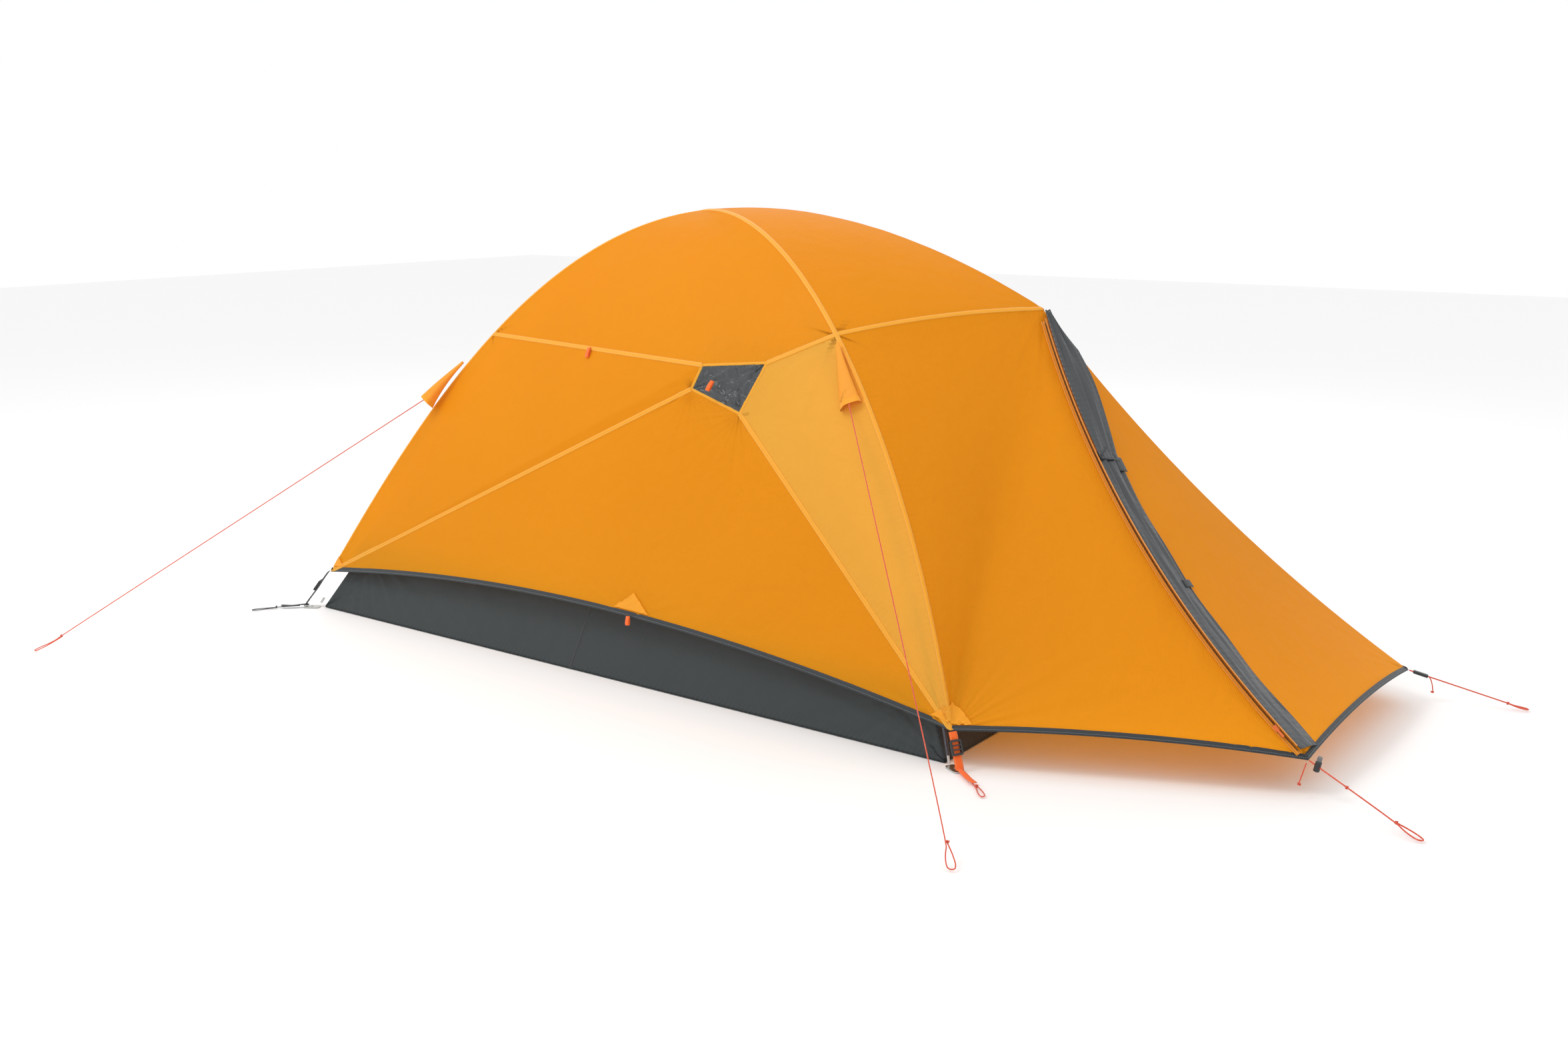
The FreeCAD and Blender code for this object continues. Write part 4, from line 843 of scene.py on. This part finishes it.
def bound_edge(curve, into):
    """Tape folded over a hem: up the outside, over the edge and up the inside."""
    spots = curve(steps(length_of(curve), 0.008))
    normals = [on_fly(spot + into(spot) * BINDING_WIDTH * 0.5)[1] for spot in spots]
    rows = []
    for number, spot in enumerate(spots):
        normal = normals[min(max(number, 6), len(spots) - 7)]
        ahead = unit(spots[min(number + 1, len(spots) - 1)] - spots[max(number - 1, 0)])
        up = np.cross(ahead, normal)
        if up[2] < 0:
            up = -up
        skew = 0.00025 * math.sin(number * 1.7)
        profile = ((BINDING_WIDTH, 0.0003), (BINDING_WIDTH * 0.93, BINDING_HALF + skew),
                   (BINDING_WIDTH * 0.45, BINDING_HALF * 1.25 + skew), (-0.0006, BINDING_HALF),
                   (-0.0013, 0.0), (-0.0006, -BINDING_HALF), (BINDING_WIDTH, skew - BINDING_HALF))
        rows.append([spot + up * rise + normal * out for rise, out in profile])
    return np.array(rows)


def inwards_up(spot):
    return unit(np.array((0.0, -0.35 * np.sign(spot[1]), 1.0)))


hems = Cloth()
hems.both_sides(bound_edge(SIDE_HEM, inwards_up), strip=True)
hems.add(bound_edge(REAR_HEM, lambda spot: unit(np.array((0.45, 0, 1.0)))), strip=True)
hems.add(bound_edge(STAKE_HEM, lambda spot: unit(np.array((-1.0, 0, 0.75)))), strip=True)
hems.add(bound_edge(DOOR_HEM, inwards_up) * MIRROR, strip=True)
hem_piece = hems.piece("fly_hem_binding", BINDING)
settle(hem_piece, ["fly_hem_tapes"])
door_hem = Cloth().add(bound_edge(DOOR_HEM, inwards_up), strip=True)
door_hem_piece = door_hem.piece("vestibule_door_binding", BINDING)
settle(door_hem_piece, ["vestibule_door_hem_tape"], None)


# ---------------- the zip, its flap and the vent
def beside_zip(t, across, lift):
    """A point beside the zip: across towards the front panel, lift away from the cloth."""
    t = np.atleast_1d(t)
    spot = ZIP_CURVE(t)
    run = unit(ZIP_CURVE(t + 0.002) - ZIP_CURVE(t - 0.002))
    side = RIGHT_CURVE(t) - spot
    side = unit(side - run * (side * run).sum(1)[:, None])
    out = np.cross(run, side)
    out = out * np.where(out[:, :1] > 0, 1, -1)
    return spot + side * np.reshape(across, (-1, 1)) + out * np.reshape(lift, (-1, 1))


FLAP_CLEARANCE, FLAP_WIDTH, HOOD_WIDTH, VENT_END, VENT_RISE = 0.009, 0.062, 0.056, 0.33, 0.022


def width_at(t, width, share=0.7):
    """A flap's width, or less near the peak, where the front panel is narrow."""
    return np.minimum(width, share * np.linalg.norm(RIGHT_CURVE(t) - ZIP_CURVE(t), axis=1))


def flap_grid(first, last, width, gathers, vent=0.0, over=0.0):
    """A long flap over the zip, with folds that run along it from its gathered top."""
    t = first + (last - first) * steps(1.25 * (last - first), 0.007)
    wide = width_at(t, width, 0.72)

    def fold(share):
        belly = 0.0022 * math.sin(math.pi * share)
        gathered = gathers * np.exp(-(t - first) / 0.3) * (
            np.sin(share * 17 + t * 12) * 0.6
            + np.sin(share * 29 - t * 15) * 0.4) * math.sin(math.pi * share) ** 0.5
        waves = 0.0016 * np.sin(t * 33 + share * 2.6) * share
        rise = vent * np.sin(np.pi * np.clip(t / VENT_END, 0, 1) ** 1.4) * share ** 0.8
        return beside_zip(t, wide * share - 0.010 * (1 - share),
                          FLAP_CLEARANCE + belly + gathered + waves + rise + over)
    return columns_of(fold, 19)


def thick(piece, amount):
    """Give a cloth piece a real thickness, half on each side."""
    shell = piece.modifiers.new("thickness", "SOLIDIFY")
    shell.thickness = amount
    shell.offset = 0.0
    return piece


flap = Cloth().add(flap_grid(0.325, 0.982, FLAP_WIDTH, 0.0055))
flap_area = flap.area()
flap_piece = flap.piece("storm_flap_cloth", FLAP_CLOTH)
hood = Cloth().add(flap_grid(0.012, 0.345, HOOD_WIDTH, 0.006, VENT_RISE, 0.004))
hood_piece = hood.piece("vent_hood_cloth", FLAP_CLOTH)
for piece, node in ((flap_piece, "storm_flap"), (hood_piece, "vent_hood")):
    settle(thick(piece, 0.0006), [node])

vent_t = 0.12 + 0.18 * np.linspace(0, 1, 24)
vent_wide = width_at(vent_t, HOOD_WIDTH) - 0.008
vent = Cloth().add(columns_of(lambda share: beside_zip(vent_t, 0.004 + vent_wide * share, 0.0035), 9))
settle(vent.piece("vent_net", NET), ["vent_mesh"])

# Piping and a stitched edge run beside the flap, where its cloth joins the panel that carries the zip.
piping_t = np.linspace(0.03, 0.975, 150)
flap_trim = Cloth().add(columns_of(lambda share: beside_zip(
    piping_t, -0.0165 + 0.007 * share,
    FLAP_CLEARANCE + 0.0008 + 0.001 * math.sin(math.pi * share))), strip=True)
flap_trim_piece = flap_trim.piece("storm_flap_piping", PIPING)
flap_edge_t = np.linspace(0.335, 0.975, 120)
flap_hem = Cloth().add(columns_of(lambda share: beside_zip(
    flap_edge_t, width_at(flap_edge_t, FLAP_WIDTH) - 0.010 + 0.0096 * share,
    FLAP_CLEARANCE + 0.0008 + 0.0016 * np.sin(flap_edge_t * 33 + 2.6))), strip=True)
flap_hem_piece = flap_hem.piece("storm_flap_hem", BINDING)

tabs = Cloth()
for place, half, lift in ((0.352, 0.016, 0.004), (0.62, 0.008, 0.0022)):
    t = np.linspace(place - half, place + half, 10)
    tabs.add(columns_of(lambda share: beside_zip(
        t, width_at(t, FLAP_WIDTH) - 0.024 + 0.030 * share,
        FLAP_CLEARANCE + lift + 0.0015 * math.sin(math.pi * share)), 8), strip=True)
tab_piece = thick(tabs.piece("storm_flap_tabs", BINDING), 0.0009)


# ---------------- guy cones and loops
def cone(root, mouth, mouth_wide, mouth_deep):
    """A cloth trumpet sewn on a ridge, with a stitched rim and an open, dark mouth."""
    ahead = unit(mouth - root)
    out = on_fly(mouth)[1]
    side = unit(np.cross(ahead, out))
    up = np.cross(side, ahead)
    rows = []
    for share in np.linspace(0, 1, 26):
        wide, deep = 0.004 + mouth_wide * share ** 1.2, 0.003 + mouth_deep * share ** 1.3
        angles = np.linspace(0, 2 * np.pi, 41)
        ripple = 1 + 0.05 * share * np.sin(angles * 5 + 1)
        centre = root + (mouth - root) * share - out * deep * 0.8 * share
        rows.append(centre + side * (np.cos(angles) * wide * ripple)[:, None]
                    + up * (np.sin(angles) * deep * ripple)[:, None])
    return np.array(rows)


REAR_CONE = (rear_ridge(0.52)[0] + vec(-0.010, -0.010, 0.002), vec(-0.751, -0.416, 0.616))
FRONT_CONE = (front_ridge(0.45)[0] + vec(0.002, -0.015, 0), vec(0.699, -0.478, 0.728))
cones, cone_rims = Cloth(), Cloth()
for (root, mouth), wide, deep in ((REAR_CONE, 0.015, 0.020), (FRONT_CONE, 0.024, 0.014)):
    grid = cone(root, mouth, wide, deep)
    cones.both_sides(grid)
    cone_rims.both_sides(grid[-3:] + unit(grid[-3:] - grid[-3:].mean(1, keepdims=True)) * 0.0009, strip=True)
cone_piece = thick(cones.piece("guy_cones_cloth", PALE), 0.0007)
cone_rim_piece = cone_rims.piece("guy_cone_rims", SEAM)
settle(cone_piece, ["guy_cones"])


LOOP_WIDTH, LOOP_SPREAD = 0.011, 0.007


def webbing_loop(spot, drop):
    """A folded loop of narrow webbing that hangs from a seam."""
    normal = on_fly(spot)[1]
    side = unit(np.cross(unit(drop), normal))
    rows = []
    for angle in np.linspace(0, 2 * np.pi, 29):
        round_trip = (1 - math.cos(angle)) / 2
        bulge = math.sin(angle) * LOOP_SPREAD * (0.35 + 0.65 * round_trip)
        centre = spot + drop * round_trip + normal * (0.0035 + bulge * 0.5 + LOOP_SPREAD * 0.3)
        rows.append([centre + side * LOOP_WIDTH * share for share in (-0.5, 0, 0.5)])
    return np.array(rows)


LOOPS = [(HEM_MIDDLE + vec(0, -0.003, 0.001), vec(0.003, -0.006, -0.021)),
         (vec(0.290, -0.440, 0.746), vec(-0.004, -0.016, -0.022)),
         (SEAM_TOP + (GUSSET[1] - SEAM_TOP) * 0.5, vec(0.002, -0.012, -0.024))]
loops = Cloth()
for spot, drop in LOOPS:
    loops.both_sides(webbing_loop(spot, drop), strip=True)
loop_piece = thick(loops.piece("fly_loops_webbing", WEBBING), 0.0010)
settle(loop_piece, ["fly_webbing_loops"])

for piece in (seam_piece, patch_piece, flap_trim_piece, flap_hem_piece, tab_piece, cone_rim_piece):
    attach(piece, "tent")


# ---------------- the inner tent
inner_rear = leg(INNER_REAR_LEG, FLOOR_REAR)
inner_front = leg(INNER_FRONT_LEG, FLOOR_FRONT)
INNER_TOP_T, WALL_REAR_T, WALL_FRONT_T, DOOR_TOP_T = 0.04, 0.86, 0.905, 0.5
WALL_REAR, WALL_FRONT = inner_rear(WALL_REAR_T)[0], inner_front(WALL_FRONT_T)[0]
DOOR_TOP = inner_front(DOOR_TOP_T)[0]
FLOOR_LIFT, INNER_PITCH = 0.003, 0.02
LOW_REAR, LOW_FRONT = FLOOR_REAR + UP * FLOOR_LIFT, FLOOR_FRONT + UP * FLOOR_LIFT


def wall(a, b, c, d, seed, pulls, fold=0.0022):
    """A bathtub wall between two low corners a, b and two high ones c, d, folded where it is loose."""
    grid = four_sided(line(c, d), line(a, b), line(c, a), line(d, b), 0.008)
    return with_relief(grid, 0.004, 0.0012, pulls, fold, seed)


tub = Cloth()
for side in (np.ones(3), MIRROR):
    a, b, c, d = (spot * side for spot in (LOW_REAR, LOW_FRONT, WALL_REAR, WALL_FRONT))
    tub.add(wall(a, b, c, d, 20.0, [(b, 0.28), (d, 0.20), (a, 0.16), (c, 0.16)], 0.0034))
for low, high, seed in ((LOW_REAR, WALL_REAR, 21.0), (LOW_FRONT, WALL_FRONT, 22.0)):
    tub.add(wall(low, low * MIRROR, high, high * MIRROR, seed, [(low, 0.2), (low * MIRROR, 0.2)]))
settle(thick(tub.piece("bathtub_wall_cloth", FLOOR_CLOTH), 0.0008), ["bathtub_walls"])
floor_side = line(LOW_REAR, LOW_FRONT)
floor_grid = four_sided(straight_over(LOW_REAR), straight_over(LOW_FRONT), floor_side, mirror(floor_side),
                        INNER_PITCH)
floor_cloth = Cloth().add(floor_grid - UP * 0.0015, inside=-UP)
settle(thick(floor_cloth.piece("floor_cloth", FLOOR_CLOTH), 0.0010), ["floor_sheet"])


WALL_SEAM_PROFILE = ((-0.0045, -0.0006), (-0.0035, 0.0006), (0, 0.0009), (0.0035, 0.0006), (0.0045, -0.0006))
ALONG_WALL = 0.47


def wall_seam(low, high):
    """A narrow sewn seam from the foot of the left wall to its top."""
    return np.array([[low + (high - low) * share + vec(offset, -0.0013 - rise, 0)
                      for offset, rise in WALL_SEAM_PROFILE] for share in np.linspace(0, 1, 20)])


tub_seams = Cloth().both_sides(wall_seam(floor_side(ALONG_WALL)[0],
                                         line(WALL_REAR, WALL_FRONT)(ALONG_WALL)[0]), strip=True)
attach(tub_seams.piece("bathtub_wall_seams", BINDING), "tent")

rear_side = span(inner_rear, INNER_TOP_T, WALL_REAR_T)
front_side = span(inner_front, INNER_TOP_T, WALL_FRONT_T)
roof_side = span(inner_front, INNER_TOP_T, DOOR_TOP_T)


def inner_panel(left, right, end, seed):
    return with_relief(fan(left, right, end, INNER_PITCH), 0.004, 0.001, seed=seed)


inner = Cloth()
inner.both_sides(inner_panel(rear_side, front_side, line(WALL_REAR, WALL_FRONT), 30.0))
inner.add(inner_panel(rear_side, mirror(rear_side), straight_over(WALL_REAR), 31.0))
inner.add(inner_panel(roof_side, mirror(roof_side), straight_over(DOOR_TOP), 32.0))
settle(inner.piece("inner_tent_cloth", INNER),
       ["inner_rear", "inner_side_left", "inner_side_right", "inner_roof_front"])

# The front wall is flat and leans back; its doorway holds a door that folds down inwards.
wall_low, wall_top = vec(WALL_FRONT[0], 0, WALL_FRONT[2]), vec(DOOR_TOP[0], 0, DOOR_TOP[2])
wall_height = float(np.linalg.norm(wall_top - wall_low))
wall_up = (wall_top - wall_low) / wall_height
DOOR_LOW_HALF, DOOR_TOP_HALF = 0.375, 0.275
WALL_GAP, WALL_MARGIN = 0.005, 0.004


def on_wall(y, height):
    return wall_low + wall_up * height + vec(0, y, 0)


def wall_patch(low, high, low_left, low_right, high_left, high_right):
    return four_sided(line(on_wall(low_left, low), on_wall(low_right, low)),
                      line(on_wall(high_left, high), on_wall(high_right, high)),
                      line(on_wall(low_left, low), on_wall(high_left, high)),
                      line(on_wall(low_right, low), on_wall(high_right, high)), INNER_PITCH)


def wall_band(low, high, low_half, high_half):
    """A part of the wall that is the same on the left and the right."""
    return wall_patch(low, high, -low_half, low_half, -high_half, high_half)


def half_width(height):
    """Half of the wall's width at a height, up to a margin beside the seam."""
    return -WALL_FRONT[1] + (WALL_FRONT[1] - DOOR_TOP[1]) * height / wall_height - WALL_MARGIN


door_foot, door_head = ((spot[2] - wall_low[2]) / wall_up[2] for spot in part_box("inner_door"))
foot_half, head_half = half_width(door_foot), half_width(door_head)
front_wall = Cloth()
front_wall.add(wall_band(WALL_MARGIN, door_foot - WALL_GAP, half_width(0), foot_half))
front_wall.add(wall_band(door_head + WALL_GAP, wall_height - WALL_MARGIN, head_half, half_width(wall_height)))
front_wall.both_sides(wall_patch(door_foot - WALL_GAP, door_head + WALL_GAP, -foot_half,
                                 -DOOR_LOW_HALF - WALL_GAP, -head_half, -DOOR_TOP_HALF - WALL_GAP))
settle(front_wall.piece("inner_front_cloth", INNER), ["inner_front_wall"])
inner_door = Cloth().add(wall_band(door_foot, door_head, DOOR_LOW_HALF, DOOR_TOP_HALF))
settle(inner_door.piece("inner_door_cloth", INNER), ["inner_door"], "inner_door")


# ---------------- the zip and the corner straps
def on_zip(t, sideways, lift):
    """A place by the zip, over the cloth of the panel that opens."""
    t = np.atleast_1d(t)
    spot = ZIP_CURVE(t)
    run = unit(ZIP_CURVE(t + 0.01) - ZIP_CURVE(t - 0.01))
    side = FLY_FRONT - spot
    side = unit(side - run * (side * run).sum(1)[:, None])
    out = np.cross(run, side)
    out = out * np.where(out[:, 1:2] < 0, 1, -1)
    return spot + side * sideways + out * lift


zip_t = np.linspace(0.03, 0.985, 170)
zip_tape = Cloth().add(columns_of(lambda share: on_zip(
    zip_t, 0.002 + 0.011 * share, 0.0034 + 0.0006 * math.sin(math.pi * share))), strip=True)
zip_tape_piece = thick(zip_tape.piece("zip_tape_cloth", PIPING), 0.0007)
settle(zip_tape_piece, ["vestibule_zip_tape"], None)
COIL_STEPS, COIL_TURN = 1500, 1.9
coil_spots = [on_zip(t, 0.0046 + 0.0009 * math.cos(step * COIL_TURN),
                     0.0052 + 0.0007 * math.sin(step * COIL_TURN))[0]
              for step, t in enumerate(np.linspace(0.035, 0.98, COIL_STEPS))]
zip_coil_piece = mesh_piece("zip_coil", *tube_along(coil_spots, 0.00045, 4), ZIP_TEETH)
for piece in (door_piece, door_hem_piece, zip_tape_piece, zip_coil_piece):
    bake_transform(piece)


def corner_strap(high_corner, foot, floor_corner):
    """The webbing from a corner of the fly down to the foot that holds the pole's tip."""
    heading = unit(floor_corner - CROSSING)
    across = np.cross(UP, heading)
    high = high_corner + heading * 0.007
    ahead = foot + heading * 0.016 + UP * 0.005 - high
    face = unit(np.cross(across, ahead))
    face = face if face @ heading > 0 else -face
    return np.array([[high + ahead * share + across * STRAP_WIDTH * offset
                      + face * 0.0006 * math.sin(share * 9)
                      for offset in (-0.5, -0.25, 0, 0.25, 0.5)] for share in np.linspace(0, 1, 40)])


def ground_tail(foot, end):
    """A strip of webbing that lies on the ground between a corner's foot and its loop."""
    ahead = end - foot
    side = unit(np.cross(ahead, UP))
    return np.array([[foot + ahead * share + side * TAIL_WIDTH * offset
                      + UP * (0.0075 + 0.0012 * math.sin(share * 7 + offset))
                      for offset in (-0.5, -0.17, 0.17, 0.5)] for share in np.linspace(0, 1, 20)])


STRAP_WIDTH, TAIL_WIDTH = 0.020, 0.012
DARK_LOOK, BRIGHT_LOOK = 0, 1
straps = Cloth()
straps.both_sides(corner_strap(FLY_REAR, rear_ridge(1.0)[0], FLOOR_REAR), DARK_LOOK, strip=True)
straps.both_sides(corner_strap(FLY_FRONT, front_ridge(1.0)[0], FLOOR_FRONT), BRIGHT_LOOK, strip=True)
straps.add(ground_tail(vec(-1.096, -0.570, 0), vec(-1.152, -0.624, 0)), DARK_LOOK, strip=True)
straps.add(ground_tail(vec(1.098, -0.661, 0), vec(1.172, -0.718, 0)), BRIGHT_LOOK, strip=True)
settle(thick(straps.piece("corner_strap_webbing", DARK_WEBBING, WEBBING), 0.0014), ["corner_straps"])


# ---------------- what shows of the CAD itself
NODE_LOOKS = (
    (POLE, ["main_pole_from_rear_left", "main_pole_from_rear_right", "brow_pole"]),
    (STEEL, ["pole_sleeves", "pole_tips", "corner_feet"]),
    (BLACK, ["canopy_clips", "pole_crossing_clips", "cord_lock", "cord_tensioner", "vent_strut",
             "corner_buckle_front_left", "corner_buckle_front_right", "corner_buckle_rear_left",
             "corner_buckle_rear_right"]),
    (GREY_PLASTIC, ["cord_lock_button"]),
    (ZIP_METAL, ["vestibule_zip_slider"]),
)
for look, labels in NODE_LOOKS:
    for label in labels:
        paint(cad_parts[label], look)


# ---------------- floor, world and lights
def studio():
    floor_mesh = bpy.data.meshes.new("studio_floor")
    half, level = 14.0, -0.0012
    floor_mesh.from_pydata([(-half, -half, level), (half, -half, level), (half, half, level),
                            (-half, half, level)], [], [(0, 1, 2, 3)])
    graph = Graph("pale_floor")
    shade = graph.noise(3.0)
    tint = graph.mix(graph.times(shade, 0.04), (0.93, 0.93, 0.93, 1), (0.88, 0.88, 0.88, 1))
    graph.finish(tint, 0.85, Specular_IOR_Level=0.15)
    ground = paint(link("studio_floor", floor_mesh), graph.material)
    world = bpy.data.worlds.new("studio_world")
    world.use_nodes = True
    background = world.node_tree.nodes["Background"]
    background.inputs[0].default_value = (1.0, 1.0, 1.0, 1)
    background.inputs[1].default_value = 1.0
    scene.world = world
    for name, place, size, power, colour in (
            ("key", (-1.2, -2.4, 4.2), 1.6, 66.0, (1.0, 0.985, 0.96)),
            ("back", (-1.5, 3.0, 3.6), 3.0, 30.0, (1.0, 1.0, 1.0))):
        light = bpy.data.lights.new(name, "AREA")
        light.size = size
        light.energy = power
        light.color = colour
        lamp = bpy.data.objects.new(name, light)
        lamp.location = place
        lamp.rotation_euler = (Vector(place) - Vector((0.1, 0, 0.4))).to_track_quat("Z", "Y").to_euler()
        scene.collection.objects.link(lamp)


studio()
scene.view_settings.view_transform = "Standard"
